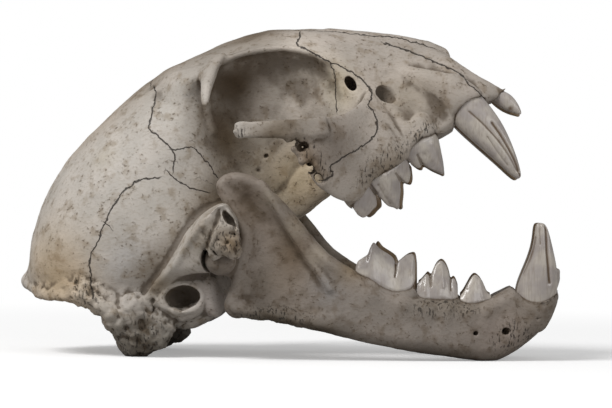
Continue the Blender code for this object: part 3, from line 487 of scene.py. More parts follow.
lower_blades = {
    "lower_molar_1": (
        [(36.0, 21.9, -3.0, -1.9, 1.1), (36.6, 21.8, -3.6, -0.5, 1.6), (37.8, 21.7, -4.2, 0.4, 1.9),
         (39.2, 21.4, -4.8, 1.4, 2.2), (39.9, 21.3, -5.2, 3.2, 2.3), (40.9, 21.1, -5.8, 4.6, 2.4),
         (42.4, 20.8, -7.0, 3.0, 2.4), (44.6, 20.4, -8.1, 1.6, 2.4), (46.1, 20.0, -8.6, 0.4, 2.3),
         (46.9, 19.9, -8.7, -1.3, 2.2), (47.7, 19.7, -8.7, -0.3, 2.2), (49.4, 19.3, -8.5, 1.0, 2.1),
         (50.9, 18.9, -7.9, 1.5, 1.9), (51.7, 18.7, -6.8, 1.0, 1.5), (52.1, 18.5, -5.6, -1.6, 1.0)],
        0.10, [],
        [([(46.8, 0.0), (46.9, -2.6), (46.7, -4.8)], 0.22, -0.42, 1.0),
         ([(36.8, -2.2), (39.0, -1.2), (40.2, 1.4)], 0.5, 0.16, 0.0),
         ([(51.2, 0.5), (51.0, -4.0)], 0.5, 0.16, 0.0)]),
    "lower_premolar_4": (
        [(52.5, 18.3, -9.4, -6.6, 1.2), (53.3, 18.1, -10.2, -6.0, 1.6), (54.2, 17.9, -10.6, -5.0, 1.9),
         (55.2, 17.7, -10.8, -4.0, 2.0), (56.1, 17.4, -10.8, -4.7, 2.0), (56.6, 17.2, -10.8, -3.6, 2.1),
         (57.6, 16.9, -10.8, -1.5, 2.2), (59.0, 16.5, -10.8, -0.4, 2.3), (60.2, 16.1, -10.9, -1.3, 2.2),
         (61.1, 15.9, -11.0, -3.3, 2.1), (61.7, 15.7, -11.0, -5.7, 2.0), (62.3, 15.5, -11.0, -5.2, 1.8),
         (63.0, 15.3, -10.8, -5.7, 1.5), (63.7, 15.1, -10.4, -7.6, 1.0)],
        0.08, [],
        [([(56.2, -4.6), (56.4, -7.4)], 0.28, -0.34, 0.6), ([(61.9, -5.8), (61.9, -8.6)], 0.28, -0.30, 0.45),
         ([(54.4, -5.6), (54.4, -8.4)], 0.4, -0.16, 0.2), ([(59.2, -1.0), (59.8, -7.6)], 0.5, 0.20, 0.0)]),
    "lower_premolar_3": (
        [(64.3, 14.9, -11.2, -10.0, 0.9), (65.2, 14.7, -11.6, -8.9, 1.4), (66.3, 14.4, -12.0, -6.9, 1.8),
         (67.3, 14.0, -12.1, -5.2, 2.0), (68.4, 13.7, -12.0, -4.3, 2.0), (69.6, 13.2, -11.8, -5.1, 1.9),
         (70.8, 12.8, -11.5, -6.9, 1.7), (71.8, 12.4, -11.2, -9.2, 1.4), (72.8, 12.1, -11.0, -9.9, 0.9)],
        0.08, [],
        [([(69.6, -5.6), (70.4, -10.4)], 0.45, 0.18, 0.0), ([(66.2, -8.4), (66.6, -11.0)], 0.5, -0.14, 0.0)])}
for side in (RIGHT, LEFT):
    for blades, place, row, body_name in ((upper_blades, head_place, uppers, "cranium"),
                                          (lower_blades, jaw_place, lowers, "mandible")):
        for name, (rows, lean, lumps, marks) in blades.items():
            forms = [blade(side, rows, lean)]
            forms += [swelling((a, side * w, d), radii) for (a, w, d), radii in lumps]
            tooth = fused(name, forms, 0.22, 4)
            brown = etch(tooth, side, marks)
            places, outward = points_of(tooth)
            ahead = [section[0] for section in rows]
            neck = np.interp(places[:, 0], ahead, [section[2] for section in rows])
            root = (neck - places[:, 2]) * (1.0 if row is lowers else -1.0)
            finish_tooth(tooth, name, side, brown, root, row, place, body_name)
    # the last upper molar is a small peg behind the carnassial tooth
    peg = drawn_out(16, side, [(38.8, 23.0, -2.6, 1.1, 1.7), (38.4, 23.0, -4.6, 1.5, 2.2),
                               (38.1, 23.0, -6.4, 1.6, 2.5), (38.0, 23.0, -7.7, 1.1, 1.9),
                               (38.0, 23.0, -8.2, 0.5, 1.1)], 2)
    places, outward = points_of(peg)
    finish_tooth(peg, "upper_molar_1", side, np.zeros(len(places)), places[:, 2] + 5.0, uppers,
                 head_place, "cranium")

# Cranium. The braincase, brow, face, palate, cheekbones and ear capsules of a grown cat have
# fused into one thin-walled bone, marked by the jagged lines where they met. The right cheekbone
# arch has broken away and left rough, spongy edges; its hollows are darkened with painted shade.


def sections(rows, per_span, around):
    """A form through closed sections of equal length."""
    rows = np.array(rows, float)
    along = np.array([through(rows[:, k], per_span) for k in range(rows.shape[1])])
    return skin([through(along[:, k], around, closed=True) for k in range(along.shape[1])])


def rod(path, sides=24, per_span=6, square=2.0):
    """A form along (a, w, d, half height, half thickness) points, its height kept near d.

    Its section is oval at square 2, and the flatter and sharper edged the higher square is.
    """
    dense = through(path, per_span)
    spine = dense[:, :3]
    rings = []
    for i, (centre, tall, thick) in enumerate(zip(spine, dense[:, 3], dense[:, 4])):
        along = spine[min(i + 1, len(spine) - 1)] - spine[max(i - 1, 0)]
        along /= np.linalg.norm(along)
        across = np.cross(along, (0.0, 0.0, 1.0))
        if np.linalg.norm(across) < 0.2:
            across = np.cross(along, (1.0, 0.0, 0.0))
        across /= np.linalg.norm(across)
        up = np.cross(across, along)
        turn = np.linspace(0, 2 * math.pi, sides, endpoint=False)
        high, out = (np.sign(f(turn)) * np.abs(f(turn)) ** (2.0 / square) for f in (np.sin, np.cos))
        rings.append([centre + up * tall * h + across * thick * o for h, o in zip(high, out)])
    return skin(rings)


def carve(thing, tool):
    """Cut the tool's shape out of the skin, and use it up."""
    away = thing.modifiers.new("away", "BOOLEAN")
    away.operation = "DIFFERENCE"
    away.solver = "MANIFOLD"
    away.object = tool
    bpy.context.view_layer.objects.active = thing
    bpy.ops.object.modifier_apply(modifier="away")
    bpy.data.objects.remove(tool, do_unlink=True)


def vault(top, bottom, wide, widest, square=2.15):
    """Twelve half section points of a rounded vault."""
    half = []
    for t in np.linspace(math.pi / 2, -math.pi / 2, 12):
        reach = (top if t > 0 else bottom) - widest
        half.append((wide * max(math.cos(t), 0.0) ** (2 / square),
                     widest + reach * abs(math.sin(t)) ** (2 / square)))
    return half


# Half sections from the back of the head to the tip of the snout: top midline, brow or nasal
# edge, cheek, tooth margin, palate
head_rows = [
    (-50.4, vault(27.6, 24.0, 7.0, 25.8)),
    (-47.5, vault(29.6, 20.8, 15.0, 24.5)),
    (-43.5, vault(34.4, 16.4, 20.6, 23.0)),
    (-38.5, vault(38.7, 9.6, 24.0, 21.5)),
    (-34.0, vault(41.9, 4.0, 25.9, 20.5)),
    (-29.0, vault(44.9, -4.0, 27.2, 19.8)),
    (-22.0, vault(47.9, -5.0, 28.0, 19.5)),
    (-14.0, vault(50.4, -4.8, 28.5, 19.5)),
    (-5.0, vault(52.2, -3.0, 26.8, 20.5)),
    (3.0, vault(53.4, -0.5, 25.0, 26.0)),
    (10.0, vault(53.7, 2.5, 23.4, 31.0)),
    (15.0, [(0, 53.6), (10, 52.6), (19.0, 48.7), (22.0, 45.0), (22.0, 39.5), (20.0, 33), (17.6, 27),
            (15.8, 20), (13.6, 12), (11, 6), (6, 5), (0, 5)]),
    (19.5, [(0, 52.9), (11, 51.8), (21.5, 47.2), (23.0, 44.5), (20.0, 40), (16, 33), (14.6, 27),
            (13.4, 20), (12.0, 12), (10, 6), (5, 5.5), (0, 5.5)]),
    (26.0, [(0, 52.0), (10.5, 50.6), (19.8, 46.6), (20.2, 44.6), (14.8, 40), (13.3, 34), (12.6, 27),
            (12.0, 20), (11.4, 12), (9.8, 6), (5, 5.5), (0, 5.5)]),
    (31.5, [(0, 51.2), (10, 49.0), (17.8, 45.6), (18.1, 43.6), (14.0, 39), (12.8, 33), (12.2, 27),
            (12.0, 20), (11.8, 12), (10.6, 5), (5, 4.8), (0, 4.8)]),
    (35.0, [(0, 50.3), (9.6, 47.8), (16.8, 44.6), (17.1, 42.8), (13.6, 38), (12.5, 32), (12.3, 26),
            (12.5, 19), (13.2, 11), (13.5, 1.0), (6, 0.8), (0, 0.8)]),
    (40.0, [(0, 48.8), (9.4, 46.2), (16.6, 43.0), (16.9, 41.2), (13.6, 37), (12.7, 31), (13.0, 25),
            (14.5, 17), (18, 9), (24, -5.5), (18.5, -3.0), (0, 0.5)]),
    (45.0, [(0, 46.6), (9.0, 44.9), (17.0, 40.3), (17.4, 38.5), (14.6, 35), (13.9, 30), (14.6, 24),
            (17.5, 16), (23, 8), (27, -5.3), (20.6, -5.4), (0, 0.8)]),
    (50.0, [(0, 43.6), (9.0, 42.0), (18.0, 36.3), (18.7, 34.4), (16.8, 31), (16.6, 26), (18.3, 20),
            (21.5, 14), (25.5, 6), (27.2, -5.6), (20.6, -5.6), (0, 1.0)]),
    (55.0, [(0, 40.3), (9.0, 38.6), (17.6, 31.8), (19.6, 28.2), (19.9, 24.5), (20.6, 20), (22.3, 15),
            (24.2, 9), (25.6, 2), (26.0, -5.4), (20.0, -5.5), (0, 0.8)]),
    (60.0, [(0, 36.4), (8.6, 34.7), (14.6, 29.2), (17.0, 25.0), (18.6, 21), (19.9, 16.5), (20.8, 12),
            (21.6, 7), (22.2, 1), (22.2, -4.2), (17.6, -4.5), (0, 0.4)]),
    (66.0, [(0, 31.2), (7.6, 29.8), (12.2, 25.2), (14.4, 21.3), (16.0, 17.5), (17.4, 13.5), (18.4, 9),
            (19.0, 4.5), (19.4, 0), (19.2, -4.2), (15.0, -4.4), (0, 0)]),
    (72.0, [(0, 26.2), (7.0, 24.8), (10.6, 20.8), (12.8, 17.3), (14.7, 14), (16.4, 10.5), (17.8, 7),
            (18.8, 3), (19.3, -0.8), (18.7, -4.4), (14.4, -4.8), (0, -0.8)]),
    (77.0, [(0, 21.2), (6.9, 19.2), (9.4, 16.4), (11.6, 13.5), (13.6, 10.8), (15.5, 8), (17.2, 5),
            (18.5, 2), (19.3, -0.8), (18.4, -3.0), (13.6, -3.6), (0, -1.6)]),
    (81.0, [(0, 14.6), (6.7, 14.3), (9.2, 13.2), (10.8, 11.4), (12.2, 9.2), (13.6, 6.8), (15.1, 4.2),
            (16.6, 1.4), (17.6, -1.0), (16.8, -3.0), (12.5, -3.8), (0, -2.4)]),
    (84.2, [(0, 6.6), (6.0, 6.7), (9.0, 6.4), (10.4, 5.3), (11.3, 3.8), (12.0, 2.2), (12.6, 0.6),
            (13.0, -1.1), (13.1, -2.8), (12.0, -4.2), (9.0, -4.6), (0, -3.4)]),
    (87.3, [(0, -0.2), (4.6, 0.0), (7.4, -0.1), (8.9, -0.7), (9.8, -1.6), (10.3, -2.5), (10.6, -3.4),
            (10.6, -4.3), (10.2, -5.0), (9.2, -5.4), (6.5, -5.4), (0, -4.6)]),
    (89.4, [(0, -4.4), (2.6, -4.5), (4.2, -4.7), (5.1, -4.9), (5.8, -5.1), (6.3, -5.3), (6.6, -5.5),
            (6.7, -5.7), (6.5, -5.9), (5.8, -6.0), (4.2, -6.0), (0, -5.8)]),
]


def head_shell():
    """The whole head, mirrored from its half sections."""
    halves = np.array([[(a, w, d) for w, d in half] for a, half in head_rows], float)
    along = np.array([through(halves[:, k], 8) for k in range(halves.shape[1])])
    rings = []
    for k in range(along.shape[1]):
        half = through(along[:, k], 6)
        half[0, 1] = half[-1, 1] = 0.0
        rings.append(np.vstack([half, half[-2:0:-1] * (1, -1, 1)]))
    return skin(rings)


def cheek_root(side):
    """The root of the cheekbone above the carnassial tooth."""
    rows = [
        (59.0, [(22.0, 16.0), (23.2, 8.0), (24.0, -3.0), (20.0, -3.0), (18.0, 7.0), (19.0, 15.0)]),
        (54.0, [(27.0, 13.8), (27.4, 7.0), (27.0, -4.8), (21.0, -4.8), (20.0, 4.0), (23.5, 12.8)]),
        (48.5, [(33.2, 13.9), (32.2, 7.0), (28.2, -5.4), (22.5, -5.0), (23.5, 4.5), (30.5, 12.8)]),
        (43.0, [(37.5, 16.2), (36.3, 8.5), (29.8, -6.2), (24.5, -5.6), (27.5, 5.0), (35.0, 15.2)]),
        (38.5, [(40.0, 18.4), (39.0, 10.5), (32.5, -5.8), (28.3, -5.4), (32.0, 6.0), (37.9, 17.4)]),
        (35.0, [(41.6, 20.3), (41.0, 13.0), (36.2, -2.4), (33.0, -2.2), (36.0, 9.0), (39.6, 19.6)]),
        (32.8, [(42.3, 21.6), (42.1, 15.5), (39.0, 4.0), (36.8, 4.2), (38.2, 12.0), (40.4, 21.0)]),
    ]
    return sections([[(a, side * w, d) for w, d in ring] for a, ring in rows], 6, 6)


def jaw_socket_shelf(side):
    """The shelf over the jaw joint, out from the braincase to the root of the arch."""
    rows = [
        (-24.0, [(20, 4.0), (24.4, 3.4), (25.0, 2.6), (24.6, 1.6), (22.5, 0.6), (19, 1.5)]),
        (-18.0, [(20, 6.0), (26.6, 5.2), (27.4, 4.0), (27.0, 2.6), (24.5, 1.2), (19, 1.5)]),
        (-12.0, [(20, 9.0), (29.4, 6.8), (30.4, 5.6), (30.0, 3.8), (26.5, 2.2), (18, 2.0)]),
        (-7.0, [(19, 11.5), (32.8, 8.0), (34.0, 6.8), (33.4, 1.6), (28.5, 0.4), (18, 1.0)]),
        (-3.0, [(18, 12.5), (36.2, 9.4), (37.4, 8.2), (37.0, 0.0), (30.0, -2.0), (18, 0.0)]),
        (1.0, [(18, 13.0), (38.8, 10.6), (39.9, 9.2), (39.6, 1.0), (31.0, -2.0), (17, 0.0)]),
        (5.0, [(17, 13.0), (39.6, 11.6), (40.8, 10.2), (40.6, -1.6), (32.0, -1.0), (16, 2.0)]),
        (8.0, [(16, 12.5), (39.8, 12.0), (40.8, 10.8), (40.6, 2.4), (33.0, 3.0), (16, 5.0)]),
        (10.0, [(16, 11.4), (39.4, 11.2), (40.0, 10.0), (39.8, 6.4), (33.0, 6.6), (16, 8.0)]),
    ]
    return sections([[(a, side * w, d) for w, d in ring] for a, ring in rows], 5, 5)


def side_forms(side):
    """The forms that both sides of the head have."""
    forms = [cheek_root(side), jaw_socket_shelf(side)]
    # the spike of the frontal bone behind the eye
    forms.append(rod([(26.5, side * 17.5, 46.6, 1.6, 6.0), (25.2, side * 22.0, 44.6, 1.7, 3.7),
                      (23.6, side * 25.4, 42.2, 1.7, 2.2), (21.9, side * 28.0, 40.0, 1.4, 1.75),
                      (20.4, side * 30.0, 37.9, 1.1, 1.5), (19.6, side * 30.8, 36.6, 0.7, 0.9)]))
    # the sharp upper rim of the orbit
    forms.append(rod([(26.5, side * 20.6, 45.2, 0.9, 0.8), (30.0, side * 19.6, 44.9, 0.9, 0.8),
                      (33.2, side * 18.9, 44.4, 0.9, 0.8), (37.7, side * 18.0, 43.0, 0.9, 0.8),
                      (41.5, side * 18.0, 41.2, 0.9, 0.8), (45.3, side * 18.3, 39.0, 0.9, 0.8),
                      (48.6, side * 18.9, 36.2, 0.9, 0.8), (51.8, side * 19.4, 32.6, 0.8, 0.8),
                      (53.8, side * 20.2, 28.6, 0.7, 0.7)], sides=12))
    # the inflated ear capsule and the rim of the ear opening
    forms.append(swelling((-13.0, side * 15.6, -3.0), (11.6, 7.6, 8.7), yaw=side * -10))
    forms.append(swelling((-15.0, side * 21.0, -2.0), (9.0, 6.6, 6.6), pitch=20))
    forms.append(swelling((-8.6, side * 20.6, -6.2), (3.3, 4.8, 6.4), pitch=16))
    # the rough bone behind the ear that the skull stands on
    for (a, w, d), radii in [((-30.5, 22.0, -3.5), (5.6, 4.6, 6.6)), ((-33.2, 19.5, -5.0), (4.2, 4.2, 5.2)),
                             ((-27.0, 22.6, -6.0), (4.8, 4.2, 5.0)), ((-33.4, 22.5, 2.5), (3.6, 4.4, 5.2)),
                             ((-24.0, 23.4, -5.4), (3.4, 3.2, 4.2)), ((-28.6, 24.2, 1.5), (5.0, 3.2, 5.0))]:
        forms.append(swelling((a, side * w, d), radii))
    # the knuckle that carries the skull on the neck, the nape crest and the wall under it
    forms.append(swelling((-34.4, side * 9.0, -1.6), (4.2, 4.6, 6.2), yaw=side * 20))
    forms.append(rod([(-50.2, 0.0, 26.2, 1.8, 2.0), (-49.9, side * 6.0, 25.4, 1.7, 2.0),
                      (-48.3, side * 12.5, 22.8, 1.6, 1.9), (-45.6, side * 18.5, 19.4, 1.6, 1.8),
                      (-41.6, side * 23.0, 16.2, 1.6, 1.8), (-37.6, side * 25.6, 13.2, 1.6, 1.8),
                      (-34.6, side * 26.4, 9.0, 1.8, 1.8), (-33.2, side * 25.8, 4.0, 2.0, 2.0)]))
    forms.append(rod([(-46.4, side * 7.0, 24.4, 2.6, 4.0), (-43.6, side * 13.5, 21.4, 3.8, 4.6),
                      (-40.2, side * 18.5, 18.6, 4.4, 4.6), (-36.6, side * 21.2, 15.0, 4.6, 4.6),
                      (-32.6, side * 21.8, 9.0, 5.0, 4.6), (-30.4, side * 20.5, 2.0, 5.0, 4.4)]))
    # the thin plate beside the throat, and the swelling over the canine's root
    forms.append(rod([(36.0, side * 12.0, 4.5, 5.4, 1.5), (30.0, side * 11.0, 4.2, 5.4, 1.3),
                      (24.0, side * 10.0, 3.6, 5.4, 1.2), (17.0, side * 9.6, 3.6, 5.0, 1.2),
                      (11.0, side * 9.4, 2.8, 4.8, 1.2), (6.0, side * 9.2, 1.0, 3.4, 1.1)]))
    forms.append(rod([(78.4, side * 16.4, -1.6, 4.8, 3.5), (75.0, side * 16.4, 4.6, 4.6, 3.2),
                      (71.0, side * 15.2, 11.0, 3.8, 2.6), (67.5, side * 13.0, 16.0, 2.6, 1.8)]))
    return forms


def nasal_plates():
    """The pair of nasal bones that overhang the nose opening."""
    rings = []
    for a, top, wide in [(58.0, 38.4, 7.6), (66.0, 32.0, 7.2), (74.0, 25.3, 6.6), (80.0, 19.2, 5.6),
                         (82.8, 14.6, 4.2)]:
        turn = np.linspace(0, math.pi, 13)
        ring = [(a, wide * math.cos(t), top - 1.6 * (1.0 - math.sin(t))) for t in turn]
        ring += [(a - 0.6, wide * 0.9 * math.cos(t), top - 3.4 - 0.6 * (1.0 - math.sin(t)))
                 for t in turn[::-1]]
        rings.append(ring)
    return skin(rings)


def cast_of(tooth):
    """A second copy of a tooth, with its places, outward directions and root distances."""
    cast = tooth.copy()
    cast.data = tooth.data.copy()
    bpy.context.collection.objects.link(cast)
    places, outward = points_of(cast)
    root = np.empty(len(places))
    cast.data.attributes["root"].data.foreach_get("value", root)
    return cast, places, outward, root


def root_sleeve(tooth, row, thick):
    """Bone this thick round a tooth's root, ending at the tooth's neck."""
    sleeve, places, outward, root = cast_of(tooth)
    places = places + outward * (thick * np.clip((root + 0.6) / 2.0, 0.25, 1.0))[:, None]
    places[:, 2] -= np.minimum(root, 0.0) * (1.0 if row is uppers else -1.0)
    move_points(sleeve, places)
    return sleeve


head_forms = [head_shell(), nasal_plates()]
head_forms += [root_sleeve(tooth, uppers, 0.5 if "incisor" in tooth.name else 0.95) for tooth in uppers]
for side in (RIGHT, LEFT):
    head_forms += side_forms(side)
# the whole arch of the left side, with the spike that closes the orbit behind
head_forms.append(rod([(36.5, 40.1, 13.0, 7.6, 1.6), (31.0, 43.1, 15.6, 7.4, 1.6),
                       (25.0, 45.3, 18.0, 6.8, 1.6), (18.0, 46.5, 18.8, 5.2, 1.6),
                       (10.0, 46.5, 17.2, 4.4, 1.6), (3.5, 44.9, 13.4, 4.2, 1.8),
                       (-0.5, 41.1, 9.0, 4.2, 2.4), (-2.5, 35.0, 6.6, 4.0, 3.0)]))
head_forms.append(rod([(25.5, 45.1, 22.0, 3.8, 1.4), (23.2, 45.1, 26.4, 2.4, 1.3),
                       (21.4, 44.5, 30.4, 1.1, 1.0)]))
# what is left of the right arch
head_forms.append(rod([(44.0, -37.0, 13.4, 3.0, 1.1), (40.0, -39.4, 15.4, 2.8, 1.0),
                       (36.0, -41.2, 17.9, 2.6, 1.0), (32.0, -42.4, 20.3, 2.4, 1.0),
                       (28.0, -43.0, 22.8, 2.35, 1.0), (25.0, -43.2, 24.8, 2.35, 1.0),
                       (23.7, -43.2, 25.6, 2.1, 0.9)], square=3.6))
cranium = fused("skull_cranium", head_forms, 0.6, 6)

hollows = []
for side in (RIGHT, LEFT):
    # the trough that the jaw's knuckle turns in, the ear hole, and the nerve holes of the face
    hollows.append(rod([(0.0, side * 20.3, 0.0, 4.8, 4.8), (0.0, side * 38.2, 0.0, 4.8, 4.8)], sides=32))
    hollows.append(swelling((-14.8, side * 25.5, -2.6), (4.9, 8.5, 3.5), pitch=26))
    hollows.append(rod([(68.4, side * 22.2, 10.4, 2.6, 1.2), (64.0, side * 20.6, 12.0, 3.0, 1.9),
                        (59.4, side * 18.6, 12.6, 2.8, 2.0), (52.0, side * 17.6, 11.6, 2.0, 1.6)]))
    hollows.append(swelling((65.0, side * 21.4, 11.2), (4.6, 2.6, 3.4), yaw=side * -20))
    hollows.append(swelling((55.4, side * 18.4, 20.3), (1.4, 5.4, 2.5)))
    # the holes in the eye's wall, and in the palate
    for a, w, d, wide in [(24.9, 13.4, 17.4, 0.8), (21.0, 13.9, 15.3, 0.6), (13.0, 14.2, 14.4, 1.5),
                          (8.0, 15.0, 10.4, 1.7), (34.0, 12.5, 9.0, 1.2)]:
        hollows.append(rod([(a, side * (w - 3.0), d, wide * 0.8, wide),
                            (a, side * (w + 3.0), d, wide, wide * 1.2)],
                           sides=16))
    hollows.append(rod([(80.6, side * 3.6, -8.0, 1.3, 2.4), (79.8, side * 3.6, -1.0, 1.2, 2.2)], sides=20))
    hollows.append(rod([(60.0, side * 9.4, -6.0, 0.8, 1.3), (58.0, side * 9.4, 3.0, 0.7, 1.0)], sides=16))
    # the gap beside the hind root of the smaller premolar
    hollows.append(swelling((56.6, side * 22.6, -4.6), (1.0, 1.6, 1.3)))
# the nose, and the hole for the spinal cord
hollows.append(rod([(95.0, 0.0, 9.4, 9.2, 9.8), (85.2, 0.0, 5.4, 7.8, 8.8), (77.0, 0.0, 5.9, 7.2, 8.0),
                    (64.0, 0.0, 7.0, 6.0, 6.4), (54.0, 0.0, 8.6, 4.6, 5.0)], sides=40))
hollows.append(rod([(-46.0, 0.0, 3.4, 5.6, 6.8), (-37.0, 0.0, 3.4, 5.4, 6.6), (-24.0, 0.0, 5.0, 5.0, 6.0)],
                   sides=40))
# the broken root of the right arch: a long slit and pores in its spongy face
for a, w, d, radii in [(8.7, -40.4, 7.2, (0.95, 3.4, 3.4)), (7.4, -41.0, 3.4, (0.7, 2.4, 1.3)),
                       (6.5, -41.0, 0.6, (0.6, 2.0, 0.6)), (5.2, -41.0, -0.8, (0.8, 2.2, 0.6)),
                       (0.5, -40.2, 2.2, (0.6, 2.6, 1.4)), (3.4, -41.2, 4.4, (0.5, 1.4, 0.8)),
                       (4.6, -41.6, 2.4, (1.3, 1.6, 1.1)), (-1.6, -38.6, 2.6, (0.5, 2.0, 2.2)),
                       # bites out of the cheekbone where the arch broke away
                       (33.6, -41.0, 14.6, (2.6, 4.0, 1.1)), (35.6, -40.6, 12.4, (1.7, 4.0, 1.4)),
                       (34.0, -39.0, 7.2, (1.3, 4.0, 2.0)), (34.4, -37.4, 3.0, (1.2, 4.0, 1.6)),
                       (25.0, -44.2, 25.2, (0.5, 1.0, 0.4))]:
    hollows.append(swelling((a, w, d), radii))
carve(cranium, fused("hollows", hollows, 0.4, 2))

# the wall down the middle of the nose, and its scrolls
scrolls = [rod([(79.5, 0.0, 4.4, 6.4, 0.5), (70.0, 0.0, 6.6, 7.4, 0.5), (56.0, 0.0, 9.0, 7.0, 0.6)])]
for side in (RIGHT, LEFT):
    for d, out in ((8.6, 3.6), (5.2, 4.4), (1.8, 3.8)):
        scrolls.append(rod([(76.5, side * out, d, 0.9, 0.7), (68.0, side * (out + 0.3), d + 1.0, 1.3, 1.2),
                            (58.0, side * out, d + 3.0, 1.6, 1.4)], sides=12))
        scrolls.append(rod([(76.0, side * (out + 0.8), d, 0.4, 2.0),
                            (66.0, side * (out + 2.0), d + 1.4, 0.4, 2.4)],
                           sides=12))
for part in scrolls + [cranium]:
    part.select_set(True)
bpy.context.view_layer.objects.active = cranium
bpy.ops.object.join()
cranium.select_set(False)


def let_in(bone, teeth, room):
    """Cut a socket round each tooth's root, with this much room, and clear the bone off its crown."""
    for tooth in teeth:
        cast, places, outward, root = cast_of(tooth)
        crown = np.clip((-0.1 - root) / 0.9, 0.0, 1.0) * (0.5 if "incisor" in tooth.name else 1.8)
        move_points(cast, places + outward * (room + crown)[:, None])
        carve(bone, fused("socket", [cast], 0.25, 0))


def near_teeth(places, teeth, reach):
    """How close each point lies to a tooth, 1 touching it and 0 beyond reach."""
    everything = np.vstack([points_of(tooth)[0][::3] for tooth in teeth])
    tree = kdtree.KDTree(len(everything))
    for i, place in enumerate(everything):
        tree.insert(place, i)
    tree.balance()
    low, high = everything.min(axis=0) - reach, everything.max(axis=0) + reach
    close = np.zeros(len(places))
    for i in np.nonzero(((places > low) & (places < high)).all(axis=1))[0]:
        close[i] = max(0.0, 1.0 - tree.find(places[i])[2] / reach)
    return close


def remeshed(thing, voxel, smoothing):
    """One even skin over all that the piece holds."""
    thing.data.remesh_voxel_size = voxel
    bpy.context.view_layer.objects.active = thing
    bpy.ops.object.voxel_remesh()
    soften(thing, smoothing)


remeshed(cranium, 0.5, 3)


def crumble(places, size):
    """Uneven heights from about -1 to 1, with bumps of this size in millimetres."""
    return np.array([noise.fractal(Vector(p) / size, 0.9, 2.1, 4) for p in places])


def pitted(places, shows, size):
    """How deep broken, spongy bone is pitted, from 0 to 1, where shows isn't 0."""
    deep = np.zeros(len(places))
    for i in np.nonzero(shows > 0.03)[0]:
        near = noise.voronoi(Vector(places[i]) / size)[0]
        deep[i] = max(0.0, 1.0 - near[0] / 0.42) * shows[i]
    return deep


places, outward = points_of(cranium)
mirrored = places * (1, 0, 1) + np.abs(places) * (0, 1, 0)
outer = np.clip(outward[:, 1] * np.sign(places[:, 1]) * 2.0, 0.0, 1.0)
# the lines where the chewing muscles began, and a low crest down the back of the head
swell = 0.55 * (mirrored[:, 2] > 30.0) * ridge(mirrored, [
    (24.0, 21.0), (17.0, 17.5), (8.0, 14.5), (-4.0, 11.5), (-18.0, 8.5), (-32.0, 5.5), (-44.0, 2.5)],
    1.1, (0, 1))
swell += (np.exp(-(mirrored[:, 1] / 1.3) ** 2) * np.clip((-28.0 - mirrored[:, 0]) / 8.0, 0.0, 1.0)
          * (mirrored[:, 2] > 24.0))
# bulges over the roots of the teeth, and hollows between them
for a, w, d, high, radii in [(60.5, 20.5, 1.0, 0.8, (1.8, 4.0, 4.5)), (65.5, 19.4, 1.0, 0.7, (1.6, 4.0, 4.2)),
                             (40.5, 27.5, -4.0, 0.7, (2.2, 4.0, 3.4)),
                             (47.0, 27.0, -2.0, 0.6, (2.0, 4.0, 3.6)),
                             (54.5, 24.5, -1.0, 0.7, (1.6, 4.0, 3.6)),
                             (57.6, 22.5, 2.0, -0.6, (1.4, 4.0, 5.0)),
                             (71.0, 18.5, 1.0, -1.0, (2.2, 4.0, 5.0)),
                             (77.5, 18.8, 6.0, 0.9, (3.4, 4.0, 7.0)),
                             (83.5, 14.0, 2.0, -0.7, (1.6, 3.0, 3.6)),
                             (62.5, 20.0, 18.0, -0.5, (4.0, 4.0, 3.0)),
                             (87.0, 8.4, -1.0, 0.4, (1.6, 2.0, 2.6))]:
    swell += high * spot(mirrored, (a, w, d), radii) * outer
# the ridge that the root of the arch sends back over the ear, and the groove and lip across it
swell += 0.5 * outer * ridge(mirrored,
                             [(-21.2, 4.4), (-15.0, 5.0), (-9.3, 6.2), (-3.1, 8.8), (4.5, 10.6)], 0.9)
broken_root = outer * (places[:, 1] < -34.0)
swell -= 0.9 * broken_root * ridge(places,
                                   [(-3.7, 1.8), (-1.8, 3.7), (1.2, 6.0), (5.0, 8.4), (8.0, 10.7)], 0.65)
swell += 0.5 * broken_root * ridge(places, [(-2.3, 0.4), (0.0, 3.4), (2.6, 5.4), (5.4, 7.2)], 0.5)
# the thin lip of the ear opening
turned = np.array([math.cos(math.radians(26)), math.sin(math.radians(26))])
from_ear = mirrored[:, (0, 2)] - (-14.8, -2.6)
oval = np.hypot((from_ear @ (turned * (1, -1))) / 4.9, (from_ear @ turned[::-1]) / 3.5)
swell += 0.5 * outer * (mirrored[:, 1] > 19.0) * np.exp(-((oval - 1.12) / 0.12) ** 2)
# worn and pitted places: behind the ears, along the nape crest, and the broken edges
rough = np.zeros(len(places))
for centre, radii in [((-30.0, 22.0, -5.0), (10.0, 9.0, 9.0)), ((-36.0, 24.0, 12.0), (5.0, 5.0, 6.0)),
                      ((-28.0, 25.0, 2.0), (7.0, 6.0, 5.0)), ((-46.0, 14.0, 20.0), (5.0, 9.0, 3.0)),
                      ((-20.0, 22.0, -8.0), (6.0, 5.0, 4.0))]:
    rough += spot(mirrored, centre, radii)
for centre, radii in [((35.0, -40.0, 8.0), (2.6, 4.0, 9.0)), ((23.6, -43.4, 25.4), (2.4, 3.0, 3.4)),
                      ((5.0, -39.0, 3.0), (5.5, 3.4, 8.0)), ((-37.0, -24.0, 14.0), (3.4, 5.0, 4.4))]:
    rough += spot(places, centre, radii)
rough = np.clip(rough, 0.0, 1.0)
uneven = crumble(places, 7.0)
fine = crumble(places + 40.0, 2.2)
swell += rough * (1.0 * fine + 0.9 * uneven - 1.3 * pitted(places, rough, 2.4) + 0.35)
swell += 0.16 * uneven + 0.035 * fine
move_points(cranium, places + outward * swell[:, None])
let_in(cranium, uppers, 0.22)
soften(cranium, 2)


def thinned(thing, triangles):
    """The skin with fewer faces where it is flat."""
    fewer = thing.modifiers.new("fewer", "DECIMATE")
    fewer.ratio = min(1.0, triangles / sum(len(face.vertices) - 2 for face in thing.data.polygons))
    bpy.context.view_layer.objects.active = thing
    bpy.ops.object.modifier_apply(modifier="fewer")


